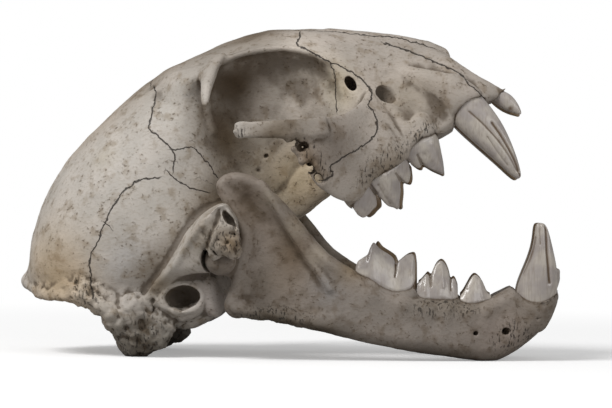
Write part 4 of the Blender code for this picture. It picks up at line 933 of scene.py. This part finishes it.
thinned(cranium, 190000)


def tinted(places, base, stains_and_painted_light):
    """A colour for each point: a base under soft stains and painted light of (place, radii, colour,
    strength).
    """
    shade = np.array(base, float) * np.ones((len(places), 1))
    for centre, radii, stain, strength in stains_and_painted_light:
        part = (strength * spot(places, centre, radii))[:, None]
        shade = shade * (1.0 - part) + np.array(stain) * part
    return shade


def store_colour(thing, name, shade):
    """Keep one colour for each point on the piece."""
    kept = thing.data.attributes.new(name, "FLOAT_COLOR", "POINT")
    solid = np.column_stack([shade, np.ones(len(shade))])
    kept.data.foreach_set("color", solid.astype(np.float32).reshape(-1))


def store_lines(thing, name, places, lines, covers):
    """Keep how far each point is from the nearest of the lines, and how much the line shows there."""
    nearest = np.full(len(places), 99.0)
    shows = np.zeros(len(places))
    for line, axes in lines:
        signed, past = beside(places[:, axes], through(line, 3))
        closer = np.abs(signed) < np.abs(nearest)
        nearest = np.where(closer, signed, nearest)
        shows = np.where(closer, np.clip(1.0 - past / 0.8, 0.0, 1.0) * (np.abs(signed) < 3.0), shows)
    store(thing, name, np.clip(nearest, -4.0, 4.0))
    store(thing, name + "_shows", shows * covers)


BRAINCASE, FACE = (0.54, 0.50, 0.45), (0.45, 0.40, 0.35)
# stains of the bone, with patches of painted light and painted shade among them
cranium_stains_and_painted_light = [
    # painted light: the first patch, pale on the temple behind the eye, lightens a wall the lamps leave dim
    ((14, 22, 42), (7, 8, 6), (0.66, 0.62, 0.56), 0.8), ((14, 0, 54), (22, 16, 7), (0.19, 0.135, 0.08), 0.9),
    ((40, 5, 47), (15, 15, 5), (0.13, 0.09, 0.05), 0.9), ((-24, 26, 12), (9, 7, 8), (0.60, 0.585, 0.58), 0.7),
    ((-16, 0, 51), (18, 15, 4), (0.36, 0.28, 0.20), 0.8), ((33, 16, 46), (9, 7, 4), (0.56, 0.51, 0.45), 0.7),
    # painted shade deep in the eye socket, over its brown stain: the next two patches
    ((18, 14, 28), (9, 9, 11), (0.085, 0.05, 0.014), 0.95),
    ((29, 14, 38), (10, 9, 8), (0.055, 0.030, 0.007), 0.98),
    ((46, 16, 30), (8, 7, 9), (0.80, 0.72, 0.62), 0.9), ((28, 12, 7), (11, 6, 11), (0.62, 0.50, 0.33), 0.9),
    ((52, 20, 22), (5, 5, 7), (0.60, 0.52, 0.38), 0.85), ((66, 18, 8), (10, 8, 8), (0.42, 0.355, 0.275), 0.6),
    ((43, 36, 8), (9, 8, 9), (0.24, 0.20, 0.165), 0.9), ((31, 42, 19), (9, 6, 5), (0.13, 0.095, 0.055), 0.9),
    ((48, 27, -4), (10, 4, 3.4), (0.16, 0.115, 0.065), 0.85),
    # painted light: the next patch, pale on the ear capsule
    ((-8, 22, -7), (5, 7, 7), (0.62, 0.56, 0.52), 0.9),
    ((-30, 22, -6), (11, 10, 10), (0.055, 0.040, 0.02), 0.97),
    ((-18, 27, 4), (5, 5, 3), (0.20, 0.15, 0.09), 0.85),
    # the next patch is a real brown stain at the back of the head, lightened as painted light
    ((-39, 20, 20), (11, 12, 13), (0.52, 0.38, 0.22), 0.85),
    ((2, 38, 6), (7, 6, 7), (0.24, 0.195, 0.14), 0.8),
    ((5.6, 41, 1.5), (3.4, 4, 4), (0.19, 0.125, 0.06), 0.85),
    ((-12, 26, 43), (4, 5, 3), (0.52, 0.43, 0.27), 0.7),
    ((-18, 26, 10), (8, 5, 3.4), (0.28, 0.22, 0.15), 0.6), ((8, 18, 14), (9, 8, 8), (0.22, 0.16, 0.09), 0.8),
    ((35, 40, 8), (3, 5, 8), (0.15, 0.095, 0.045), 0.85), ((5, 0, 0), (22, 14, 7), (0.30, 0.23, 0.15), 0.7)]
places, outward = points_of(cranium)
mirrored = places * (1, 0, 1) + np.abs(places) * (0, 1, 0)
ahead = np.clip((places[:, 0] - 12.0) / 30.0, 0.0, 1.0)[:, None]
base = np.array(BRAINCASE) * (1.0 - ahead) + np.array(FACE) * ahead
store_colour(cranium, "tint", tinted(mirrored, base, cranium_stains_and_painted_light))
outer = np.clip(outward[:, 1] * np.sign(places[:, 1]) * 2.0 + 0.4, 0.0, 1.0)
SIDE, TOP = (0, 2), (0, 1)
store_lines(cranium, "seam", mirrored, [
    ([(9.9, 50.5), (9.3, 47.9), (5.9, 44.2), (4.1, 42.4), (2.9, 40.6), (3.9, 37.9), (4.7, 35.0), (5.0, 32.5),
      (5.2, 30.7), (3.3, 28.7), (2.2, 27.8)], SIDE),
    ([(-1.6, 27.7), (-3.9, 29.2), (-6.4, 30.3), (-7.7, 30.8), (-9.5, 30.1), (-11.5, 30.5), (-13.5, 29.5),
      (-16.1, 28.6), (-18.0, 27.7), (-20.1, 26.1), (-21.4, 25.7), (-23.6, 23.9), (-26.0, 22.2), (-28.2, 21.4),
      (-30.1, 19.5), (-31.6, 17.2), (-33.4, 14.2), (-34.7, 10.8)], SIDE),
    ([(51.6, 40.5), (50.8, 39.3), (49.7, 38.6), (49.4, 37.0), (51.0, 34.3), (52.4, 31.4), (53.7, 28.5),
      (56.4, 25.0), (57.4, 22.4), (58.0, 20.8), (58.9, 18.6), (59.0, 15.8), (58.3, 14.1), (56.6, 12.8),
      (55.3, 12.0), (56.6, 10.8), (56.1, 9.1), (55.4, 6.9), (53.3, 4.8), (49.2, 3.9), (45.4, 4.1),
      (41.6, 4.1),
      (39.0, 4.2), (38.1, 3.5), (38.4, 2.3), (36.8, 1.7), (34.6, 2.1), (33.8, 3.1)], SIDE),
    ([(69.2, 25.1), (74.0, 18.8), (77.6, 13.2), (81.7, 6.1), (81.9, 2.5), (82.9, -0.9), (83.3, -3.2)], SIDE)],
    outer)
on_top = (outward[:, 2] > 0.3) & (places[:, 2] > 14.0)
store_lines(cranium, "crack", mirrored, [
    ([(-20.8, 26.0), (-20.0, 23.8)], SIDE),
    ([(1.0, 28.6), (1.2, 26.5), (1.7, 24.2), (3.0, 22.3), (4.0, 20.3), (5.4, 19.0), (6.8, 17.2)], SIDE),
    ([(5.0, 32.6), (7.5, 30.9), (9.5, 30.5), (10.4, 28.9), (10.8, 26.0), (11.1, 23.5), (10.9, 21.3),
      (10.9, 19.3)], SIDE),
    ([(53.9, 28.4), (53.4, 25.7), (52.3, 23.1), (50.9, 21.1), (47.9, 16.2)], SIDE)], outer)
store_lines(cranium, "midline", mirrored, [
    ([(50.6, 7.7), (56.0, 7.9), (64.0, 7.3), (72.0, 6.8), (80.0, 5.8)], TOP),
    ([(10.0, 0.0), (40.0, 0.0), (82.0, 0.0)], TOP),
    ([(9.0, 11.0), (10.4, 6.0), (9.8, 0.0)], TOP),
    ([(50.6, 7.7), (51.8, 5.0), (52.6, 2.4), (53.0, 0.0)], TOP)], on_top)
porous = np.zeros(len(places))
for centre, radii in [((48.0, 27.5, -3.0), (11.0, 5.0, 3.6)), ((-30.0, 22.0, -5.0), (9.0, 7.0, 8.0)),
                      ((-36.0, 24.0, 12.0), (5.0, 5.0, 6.0)), ((63.0, 20.0, -1.5), (6.0, 4.0, 2.4)),
                      ((36.0, 40.0, 8.0), (3.0, 4.0, 9.0))]:
    porous += spot(mirrored, centre, radii)
for centre, radii in [((5.0, -39.0, 3.0), (5.5, 3.4, 7.0)), ((23.6, -43.4, 25.4), (2.0, 3.0, 3.0))]:
    porous += spot(places, centre, radii)
store(cranium, "porous", np.clip(porous, 0.0, 1.0))
# how far each point sinks below the skin round it, which the finish darkens as painted shade
store(cranium, "hollow", np.clip(hollows_of(cranium, 14) / 0.35, 0.0, 1.0))
store(cranium, "necks", near_teeth(places, uppers, 1.1))


def bone_finish(name):
    """Dry bone: coloured by its tint, pored, cracked along its lines, darkened in its hollows as painted
    shade.
    """
    finish, shader, start, where = new_finish(name)
    links = finish.node_tree.links
    tint = start.node("ShaderNodeAttribute", {"attribute_name": "tint"}, output="Color")
    clouds = start.grain(where, 9.0, detail=4.0)
    blots = start.grain(where, 3.2, detail=4.0)
    grit = start.grain(where, 0.8, detail=3.0)
    fibres = start.grain(where, 0.5, detail=3.0, stretch=(2.6, 1.0, 1.0), tilt=0.6)
    wobble = start.grain(where, 1.6, detail=4.0)
    porous = start.drawn("porous").kept()
    comb = start.grain(where, 0.55, detail=3.0, stretch=(1.0, 1.0, 3.2), tilt=-0.45)
    pores = (comb.over(0.56, 0.66) * porous.over(0.15, 0.6)).kept()
    specks = (grit.over(0.58, 0.70) * blots.over(0.42, 0.62)).kept()
    hollow = start.drawn("hollow")
    # painted shade: the hollows darkened, more so under the blots
    darkening = (hollow * (0.7 + blots * 0.6)).over(0.12, 0.85)
    necks = (start.drawn("necks") * (0.5 + blots)).over(0.2, 0.8)
    marks = None
    for line, width in (("seam", 0.17), ("crack", 0.12), ("midline", 0.13)):
        off = start.drawn(line) + (wobble - 0.5) * 1.5
        here = (1 - abs(off).over(width * 0.45, width * 1.6)) * start.drawn(line + "_shows")
        marks = here if marks is None else marks + here
    marks = marks.kept()
    darker = tint.node("ShaderNodeMix", {"data_type": "RGBA", "blend_type": "MULTIPLY"},
                       {"Factor": 1.0, "A": tint, "B": colour(0.62, 0.54, 0.44)}, "Result")
    paler = tint.node("ShaderNodeMix", {"data_type": "RGBA", "blend_type": "MULTIPLY"},
                      {"Factor": 1.0, "A": tint, "B": colour(1.14, 1.13, 1.13)}, "Result")
    shade = clouds.over(0.36, 0.64).blend(tint, paler)
    shade = (blots.over(0.48, 0.70) * 0.65).blend(shade, darker)
    shade = (fibres.over(0.50, 0.68) * 0.28).blend(shade, darker)
    shade = (specks * 0.6).blend(shade, colour(0.13, 0.095, 0.06))
    # painted shade in the hollows, in dark brown
    shade = (darkening * 0.72).blend(shade, colour(0.085, 0.058, 0.034))
    shade = (necks * 0.75).blend(shade, colour(0.09, 0.058, 0.03))
    shade = (pores * 0.8).blend(shade, colour(0.035, 0.026, 0.018))
    shade = (marks * 0.9).blend(shade, colour(0.028, 0.020, 0.014))
    links.new(shade.socket, shader.inputs["Base Color"])
    links.new((0.50 + grit * 0.14 + darkening * 0.15).socket, shader.inputs["Roughness"])
    height = blots * 0.5 + grit * 0.22 + fibres * 0.12 - pores * 0.9 - marks * 1.1 - specks * 0.35
    raised = start.node("ShaderNodeBump", values={"Strength": 0.9, "Distance": 0.0004, "Height": height})
    links.new(raised.socket, shader.inputs["Normal"])
    shader.inputs["Specular IOR Level"].default_value = 0.35
    return finish


def set_down(thing, place):
    """The finished bone at its place, its mesh on the floor at the lowest."""
    thing.data.transform(place)
    places = points_of(thing)[0]
    places[:, 2] = np.maximum(places[:, 2], 0.0)
    move_points(thing, places)
    thing.data.polygons.foreach_set("use_smooth", [True] * len(thing.data.polygons))


dry_bone = bone_finish("dry_bone")
set_down(cranium, head_place)
cranium.data.materials.clear()
cranium.data.materials.append(dry_bone)
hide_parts("cranium")
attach(cranium, "cranium")

# Lower jaw. Two mirrored halves that meet at the chin, each a thin blade behind, hollowed on its
# outer side for the chewing muscle, and thick in front where it holds the teeth.

# the side outline, over the top, down the front edge, round the chin and back below, in (a, d)
jaw_outline = through(
    [(-1.3, 20.4), (0.2, 22.6), (2.6, 23.5), (5.2, 23.6), (8.5, 22.8), (11.1, 21.2), (13.8, 18.8),
     (16.5, 16.1), (19.2, 12.9), (21.4, 10.2), (23.5, 7.5), (25.7, 4.8), (28.4, 2.1), (31.6, -0.3),
     (34.6, -2.2), (38.7, -4.6), (43.9, -8.1), (49.3, -9.4), (54.5, -10.5), (60.0, -11.0),
     (66.0, -11.9), (70.0, -11.6), (74.0, -9.8), (79.0, -7.6), (82.0, -9.8), (85.0, -11.4),
     (88.3, -11.0), (90.8, -8.8), (91.6, -10.9), (90.2, -13.6), (88.6, -16.4), (86.4, -19.7),
     (83.6, -22.5), (80.3, -25.0), (77.0, -26.9), (74.0, -28.0), (70.8, -28.2), (67.0, -27.6),
     (61.6, -26.8), (53.4, -25.6), (42.6, -23.5), (34.5, -21.6), (26.6, -19.5), (21.2, -18.4),
     (15.8, -17.1), (11.7, -16.3), (7.7, -16.0), (4.7, -15.5), (2.3, -14.4), (1.2, -12.5),
     (1.3, -10.3), (2.0, -8.1), (2.8, -5.4), (3.2, -2.0), (4.0, 2.0), (5.0, 5.9), (3.1, 10.7),
     (0.9, 14.5), (-0.7, 17.4)], 3, closed=True)

# how far out the middle of the jaw lies, and its half thickness, along its length
jaw_run = (-2.0, 10.0, 20.0, 30.0, 40.0, 50.0, 60.0, 70.0, 78.0, 85.0, 92.0)
jaw_out = (29.2, 28.4, 26.6, 24.2, 21.6, 19.3, 16.4, 12.9, 9.4, 6.9, 5.0)
jaw_half = (1.7, 1.9, 2.6, 3.6, 4.3, 4.4, 4.4, 4.6, 5.2, 5.4, 4.4)


def edge_distance(x, z):
    """Distance from points to the jaw's side outline."""
    nearest = np.full(len(x), 1e9)
    for (x0, z0), (x1, z1) in zip(jaw_outline, np.roll(jaw_outline, -1, axis=0)):
        length = (x1 - x0) ** 2 + (z1 - z0) ** 2
        t = np.clip(((x - x0) * (x1 - x0) + (z - z0) * (z1 - z0)) / length, 0.0, 1.0)
        nearest = np.minimum(nearest, np.hypot(x - x0 - t * (x1 - x0), z - z0 - t * (z1 - z0)))
    return nearest


def ease(value, low, high):
    """0 below low, 1 above high, smooth between."""
    t = np.clip((value - low) / (high - low), 0.0, 1.0)
    return t * t * (3.0 - 2.0 * t)


def jaw_surface(side, points):
    """Move the points of a flat plate, 10 mm thick, onto the jaw's inner and outer faces."""
    x, y, z = points.T
    middle = np.interp(x, jaw_run, jaw_out)
    half = np.interp(x, jaw_run, jaw_half)
    edge = edge_distance(x, z)
    rim = 2.2 + 1.6 * ease(x, 30.0, 45.0)
    round_off = np.sqrt(np.clip(1.0 - (1.0 - np.clip(edge / rim, 0.0, 1.0)) ** 2, 0.0, 1.0))
    hollow = 1.5 * ease(edge, 2.0, 7.0) * (1.0 - ease(x, 24.0, 33.0)) * (1.0 - ease(z, 12.0, 22.0))
    outer = half - hollow + 0.9 * (1.0 - ease(x, 28.0, 36.0)) * (1.0 - ease(edge, 1.0, 5.0))
    below = ease(-9.0 - (92.0 - x) * 0.72 - z, -2.0, 2.5)
    meeting = below * ease(x, 65.0, 71.0)
    inner = half * (1.0 - meeting) + (middle + 1.0) * meeting
    out = middle + np.where(y > 0.0, outer, -inner) * round_off * np.abs(y) / 5.0
    out = np.maximum(out, 0.15)
    return np.column_stack([x, side * out, z])


# stains of the jaw, with painted shade and a painted highlight among them
jaw_stains_and_painted_light = [
    ((75, 12, -20), (12, 10, 7), (0.26, 0.21, 0.175), 0.8),
    ((6, 28, 14), (8, 6, 11), (0.17, 0.125, 0.085), 0.85),
    ((19, 28, 2), (6, 6, 10), (0.155, 0.108, 0.065), 0.9),
    ((12, 28, -6), (9, 6, 6), (0.24, 0.195, 0.15), 0.7),
    ((29, 25, -7), (4, 6, 5), (0.28, 0.27, 0.27), 0.7),
    # painted shade along the underside of the jaw: the next two dark bands
    ((48, 20, -27), (26, 12, 4), (0.055, 0.038, 0.02), 0.9),
    ((24, 26, -19.5), (12, 10, 3), (0.05, 0.034, 0.016), 0.95),
    # painted highlight along the sharp front edge of the muscle hollow: the second patch on the next line and
    # both on the line after
    ((0, 36, 0), (4, 5, 5), (0.15, 0.12, 0.09), 0.85), ((14, 28, 17), (3, 6, 3), (0.42, 0.36, 0.28), 0.7),
    ((20, 27, 9), (3, 6, 3.4), (0.42, 0.36, 0.28), 0.7), ((26, 26, 1), (3, 6, 3.4), (0.42, 0.36, 0.28), 0.7),
    ((12, 28, -16), (12, 8, 4), (0.09, 0.07, 0.045), 0.9), ((34, 23, -3), (5, 8, 4), (0.26, 0.19, 0.11), 0.8),
    ((58, 17, -13), (16, 8, 3), (0.20, 0.165, 0.125), 0.8),
    ((84, 9, -14), (6, 8, 8), (0.20, 0.165, 0.13), 0.8)]
for side in (RIGHT, LEFT):
    rings = [[(x, y, z) for x, z in jaw_outline] for y in np.linspace(-5.0, 5.0, 3)]
    plate = fused("plate", [skin(rings)], 0.55, 0)
    move_points(plate, jaw_surface(side, points_of(plate)[0]))
    forms = [plate]
    # the knuckle that turns in the skull's trough, its neck, and the hook at the jaw's corner
    forms.append(rod([(0.0, side * 21.5, 0.0, 1.9, 1.9), (0.0, side * 23.9, 0.0, 3.6, 3.6),
                      (0.0, side * 29.4, 0.0, 4.2, 4.2), (0.0, side * 34.9, 0.0, 3.9, 3.9),
                      (0.0, side * 37.3, 0.0, 2.1, 2.1)], sides=32))
    forms.append(rod([(1.0, side * 28.6, -0.5, 3.4, 4.6), (5.0, side * 27.8, -1.6, 4.2, 3.0),
                      (10.0, side * 27.2, -3.0, 3.4, 2.0)]))
    forms.append(swelling((4.2, side * 28.4, -12.4), (3.6, 2.6, 3.4)))
    half_row = [tooth for tooth in lowers if tooth.name.split(".")[0].endswith(SIDE_NAMES[side])]
    forms += [root_sleeve(tooth, lowers, 0.4 if "incisor" in tooth.name else 0.85) for tooth in half_row]
    jaw = fused(f"skull_jaw_{SIDE_NAMES[side]}", forms, 0.45, 3)
    # the nerve holes under the teeth
    holes = []
    for a, w, d, wide in [(68.1, 18.0, -20.0, 0.75), (76.5, 15.4, -19.6, 1.15), (84.6, 11.5, -16.2, 0.55)]:
        holes.append(rod([(a + 1.2, side * (w + 2.0), d, wide, wide * 1.2),
                          (a, side * (w - 1.5), d - 0.2, wide * 0.8, wide),
                          (a - 1.5, side * (w - 4.0), d, 0.3, 0.4)],
                         sides=16))
    carve(jaw, fused("holes", holes, 0.25, 1))
    remeshed(jaw, 0.42, 2)
    places, outward = points_of(jaw)
    mirrored = places * (1, side, 1)
    outer = np.clip(outward[:, 1] * side * 2.0, 0.0, 1.0)
    # the sharp front edge of the muscle's hollow, and bulges over the roots of the teeth
    swell = 0.9 * outer * ridge(mirrored,
                                [(11.0, 20.9), (15.0, 14.2), (18.6, 8.0), (24.0, -0.5), (29.3, -8.1)], 1.0)
    swell -= 0.5 * outer * ridge(mirrored, [(6.5, 16.0), (11.0, 9.0), (16.0, 1.0), (20.0, -5.0)], 3.2)
    swell += 0.4 * outer * ridge(mirrored, [(4.0, -13.0), (12.0, -14.0), (22.0, -15.0), (31.0, -15.5)], 1.6)
    for a, d, high, wide in [(40.5, -9.0, 0.5, 2.6), (48.6, -12.0, 0.5, 2.4), (55.2, -13.6, 0.45, 1.8),
                             (61.0, -13.8, 0.45, 1.8), (67.0, -14.8, 0.4, 1.6), (71.5, -14.4, 0.4, 1.5),
                             (84.0, -18.0, 0.6, 4.0), (76.0, -14.0, -0.6, 2.2), (58.0, -15.0, -0.3, 1.4)]:
        swell += high * spot(mirrored * (1, 0, 1), (a, 0.0, d), (wide, 9.0, 3.4)) * outer
    rough = (spot(mirrored, (14.0, 28.0, -16.5), (14.0, 6.0, 3.4))
             + spot(mirrored, (58.0, 19.0, -13.0), (12.0, 4.0, 2.6)))
    uneven, fine = crumble(places, 6.0), crumble(places + 40.0, 1.9)
    swell += np.clip(rough, 0.0, 1.0) * 0.35 * fine + 0.14 * uneven + 0.03 * fine
    places = places + outward * swell[:, None]
    places[:, 1] = side * np.maximum(places[:, 1] * side, 0.15)
    move_points(jaw, places)
    let_in(jaw, half_row, 0.2)
    thinned(jaw, 110000)
    places, outward = points_of(jaw)
    mirrored = places * (1, side, 1)
    store_colour(jaw, "tint", tinted(mirrored, (0.30, 0.262, 0.228), jaw_stains_and_painted_light))
    outer = np.clip(outward[:, 1] * side * 2.0 + 0.4, 0.0, 1.0)
    for name in ("seam", "crack", "midline"):
        store(jaw, name, np.full(len(places), 9.0))
        store(jaw, name + "_shows", np.zeros(len(places)))
    porous = (spot(mirrored, (57.0, 19.0, -13.6), (13.0, 5.0, 2.8))
              + spot(mirrored, (79.0, 12.0, -22.0), (7.0, 8.0, 5.0))
              + spot(mirrored, (12.0, 28.0, -16.0), (12.0, 6.0, 3.6)))
    store(jaw, "porous", np.clip(porous, 0.0, 1.0))
    # the jaw's hollows, which the finish darkens as painted shade
    store(jaw, "hollow", np.clip(hollows_of(jaw, 14) / 0.3, 0.0, 1.0))
    store(jaw, "necks", near_teeth(places, lowers, 1.0))
    set_down(jaw, jaw_place)
    jaw.data.materials.clear()
    jaw.data.materials.append(dry_bone)
    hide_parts(f"mandible_{SIDE_NAMES[side]}")
    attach(jaw, "mandible")
for tooth in uppers + lowers:
    bpy.data.objects.remove(tooth, do_unlink=True)

# Floor. A pale sheet that the skull stands on, white further out.

bpy.ops.mesh.primitive_plane_add(size=12.0)
floor = bpy.context.object
floor.name = "floor"
paper, paper_shader, start, where = new_finish("paper")
paper_shader.inputs["Base Color"].default_value = (0.93, 0.93, 0.93, 1)
paper_shader.inputs["Roughness"].default_value = 0.95
paper_shader.inputs["Specular IOR Level"].default_value = 0.0
paper_shader.inputs["Emission Color"].default_value = (1, 1, 1, 1)
paper_shader.inputs["Emission Strength"].default_value = 0.30
from_skull = where.node("ShaderNodeVectorMath", {"operation": "LENGTH"}, {0: where}, "Value")
white = start.node("ShaderNodeEmission", values={"Color": (1, 1, 1, 1), "Strength": 1.0})
grey = start.node("ShaderNodeBsdfDiffuse", values={"Color": (0.42, 0.41, 0.40, 1)})
seen = start.node("ShaderNodeLightPath", output="Is Camera Ray")
bright = start.node("ShaderNodeMixShader", values={0: from_skull.over(0.10, 0.42), 2: white})
sheet = start.node("ShaderNodeMixShader", values={0: seen, 1: grey, 2: bright})
links = paper.node_tree.links
links.new(paper_shader.outputs["BSDF"], bright.socket.node.inputs[1])
links.new(sheet.socket, paper.node_tree.nodes["Material Output"].inputs["Surface"])
floor.data.materials.append(paper)

# Studio light. A large soft box above and to the left of the camera, and the room's own light.

world = bpy.data.worlds.new("studio")
world.use_nodes = True
nodes, links = world.node_tree.nodes, world.node_tree.links
room = nodes["Background"]
room.inputs["Color"].default_value = (1, 1, 1, 1)
room.inputs["Strength"].default_value = 0.27
seen = nodes.new("ShaderNodeBackground")
seen.inputs["Color"].default_value = (1, 1, 1, 1)
seen.inputs["Strength"].default_value = 1.0
path = nodes.new("ShaderNodeLightPath")
either = nodes.new("ShaderNodeMixShader")
links.new(path.outputs["Is Camera Ray"], either.inputs[0])
links.new(room.outputs[0], either.inputs[1])
links.new(seen.outputs[0], either.inputs[2])
links.new(either.outputs[0], nodes["World Output"].inputs["Surface"])
bpy.context.scene.world = world


def soft_box(name, place, target, size, watts):
    """A square light that faces the target."""
    lamp = bpy.data.lights.new(name, "AREA")
    lamp.size = size
    lamp.energy = watts
    box = bpy.data.objects.new(name, lamp)
    box.location = place
    box.rotation_euler = (Vector(target) - Vector(place)).to_track_quat("-Z", "Y").to_euler()
    bpy.context.collection.objects.link(box)


soft_box("key", (-0.55, -0.60, 0.95), (-0.01, -0.02, 0.05), 0.5, 9.4)
soft_box("fill", (0.8, -0.7, 0.35), (0.02, -0.02, 0.04), 0.6, 2.2)

# Camera, level with the middle of the skull on its right side

MM_PER_PIXEL = 0.28
eye = Vector((45.0, -750.0, 41.0))
aim = Vector(((306 - 293) * MM_PER_PIXEL, 0.0, (360.5 - 204) * MM_PER_PIXEL))
ahead = (aim - eye).normalized()
across = ahead.cross(Vector((0, 0, 1))).normalized()
upward = across.cross(ahead)
held = (Matrix.Translation(HINGE * 1000) @ Matrix.Rotation(math.radians(-0.8), 4, "Y")
        @ Matrix.Translation((17.64, 0.0, -28.70)) @ Matrix.Translation(eye)
        @ Matrix((across, upward, -ahead)).transposed().to_4x4())
held.translation *= 0.001
lens = bpy.data.cameras.new("camera")
lens.sensor_width = 36
lens.lens = 36 * ((aim - eye).length / MM_PER_PIXEL) / 612
lens.clip_start = 0.01
camera = bpy.data.objects.new("camera", lens)
camera.matrix_world = held
bpy.context.collection.objects.link(camera)
bpy.context.scene.camera = camera
bpy.context.scene.view_settings.view_transform = "Standard"
